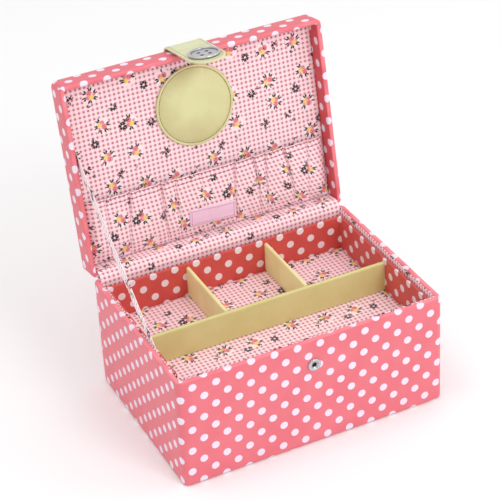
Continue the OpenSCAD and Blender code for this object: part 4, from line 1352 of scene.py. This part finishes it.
def divider(node):
    """A card divider covered in leatherette, folded over its top edge."""
    low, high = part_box(node)
    lengthwise = 0 if high.x - low.x > high.y - low.y else 1
    thick = (high - low)[1 - lengthwise]
    top = thick / 2 - 0.15 * MM
    outline = [Vector((-thick / 2, low.z)), Vector((-thick / 2, high.z - top))]
    outline += [Vector(p) for p in half_round(0.0, high.z - top, thick / 2, top)[-2:0:-1]]
    outline += [Vector((thick / 2, high.z - top)), Vector((thick / 2, low.z))]
    count = 40
    loops = []
    for k in range(count + 1):
        along = low[lengthwise] + (high[lengthwise] - low[lengthwise]) * k / count
        loop = []
        for p in outline:
            across = (low[1 - lengthwise] + high[1 - lengthwise]) / 2 + p.x
            loop.append(Vector((along, across, p.y)) if lengthwise == 0 else Vector((across, along, p.y)))
        loops.append(loop)
    # the short dividers take the paler copy of the straw: painted light
    straw = MATERIALS["divider" if lengthwise == 0 else "short_divider"]
    piece = face_outwards(skin(node + "_cover", loops, lambda k, j, f: (0.0, 0.0), straw, sharp=50))
    uneven(piece, 0.12 * MM, 26 * MM)
    place(piece, "tray", "divider_card", node)


# ---- operators ----

class SEWINGBOX_OT_stage(bpy.types.Operator):
    """Sets up the camera, the floor and the lights"""
    bl_idname = "sewing_box.stage"
    bl_label = "Stage"

    def execute(self, context):
        make_stage(context.scene, context.scene.sewing_box_sizes, context.scene.sewing_box_colours)
        return {"FINISHED"}


class SEWINGBOX_OT_materials(bpy.types.Operator):
    """Mixes every finish and the stitches, and gives the hidden parts theirs"""
    bl_idname = "sewing_box.materials"
    bl_label = "Finishes"

    def execute(self, context):
        make_materials(context.scene.sewing_box_sizes)
        for tone in ("pink", "rose", "brown", "peach"):
            MATERIALS[tone + "_stitch"] = stitch_tree(MATERIALS[tone + "_thread"])
        return {"FINISHED"}


class SEWINGBOX_OT_base(bpy.types.Operator):
    """Covers and lines the base"""
    bl_idname = "sewing_box.base"
    bl_label = "Base"

    def execute(self, context):
        make_base(context.scene.sewing_box_sizes)
        return {"FINISHED"}


class SEWINGBOX_OT_lid(bpy.types.Operator):
    """Covers the lid and pads its panel"""
    bl_idname = "sewing_box.lid"
    bl_label = "Lid"

    def execute(self, context):
        make_lid(context.scene.sewing_box_sizes)
        make_panel()
        return {"FINISHED"}


class SEWINGBOX_OT_pocket(bpy.types.Operator):
    """Gathers the pocket and sews on its label"""
    bl_idname = "sewing_box.pocket"
    bl_label = "Pocket and label"

    def execute(self, context):
        make_pocket(context.scene.sewing_box_sizes)
        return {"FINISHED"}


class SEWINGBOX_OT_pincushion(bpy.types.Operator):
    """Sews the pincushion"""
    bl_idname = "sewing_box.pincushion"
    bl_label = "Pincushion"

    def execute(self, context):
        make_pincushion()
        return {"FINISHED"}


class SEWINGBOX_OT_hinge(bpy.types.Operator):
    """Lays the cloth across the hinge and hangs the stay"""
    bl_idname = "sewing_box.hinge"
    bl_label = "Hinge cloths and stay"

    def execute(self, context):
        make_hinge()
        return {"FINISHED"}


class SEWINGBOX_OT_strap(bpy.types.Operator):
    """Makes the strap, its button and the press stud"""
    bl_idname = "sewing_box.strap"
    bl_label = "Strap and press stud"

    def execute(self, context):
        make_strap(context.scene.sewing_box_sizes)
        make_button()
        make_snap()
        return {"FINISHED"}


class SEWINGBOX_OT_tray(bpy.types.Operator):
    """Covers and lines the tray"""
    bl_idname = "sewing_box.tray"
    bl_label = "Tray"

    def execute(self, context):
        make_tray()
        return {"FINISHED"}


OPERATORS = (SEWINGBOX_OT_stage, SEWINGBOX_OT_materials, SEWINGBOX_OT_base, SEWINGBOX_OT_lid,
             SEWINGBOX_OT_pocket, SEWINGBOX_OT_pincushion, SEWINGBOX_OT_hinge, SEWINGBOX_OT_strap,
             SEWINGBOX_OT_tray)


class SEWINGBOX_PT_panel(bpy.types.Panel):
    """Lists the box's sizes and its pieces"""
    bl_idname = "SEWINGBOX_PT_panel"
    bl_label = "Sewing box"
    bl_space_type = "VIEW_3D"
    bl_region_type = "UI"
    bl_category = "Sewing box"

    def draw(self, context):
        for group in (context.scene.sewing_box_sizes, context.scene.sewing_box_colours):
            for name in group.__annotations__:
                self.layout.prop(group, name)
        for operator in OPERATORS:
            self.layout.operator(operator.bl_idname)


CLASSES = (SewingBoxSizes, SewingBoxColours) + OPERATORS + (SEWINGBOX_PT_panel,)


def register():
    for item in CLASSES:
        bpy.utils.register_class(item)
    bpy.types.Scene.sewing_box_sizes = PointerProperty(type=SewingBoxSizes)
    bpy.types.Scene.sewing_box_colours = PointerProperty(type=SewingBoxColours)


def unregister():
    del bpy.types.Scene.sewing_box_colours
    del bpy.types.Scene.sewing_box_sizes
    for item in reversed(CLASSES):
        bpy.utils.unregister_class(item)


def main():
    """Registers the add-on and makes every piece."""
    register()
    for operator in OPERATORS:
        getattr(bpy.ops.sewing_box, operator.bl_idname.split(".")[1])()


if __name__ == "__main__":
    main()
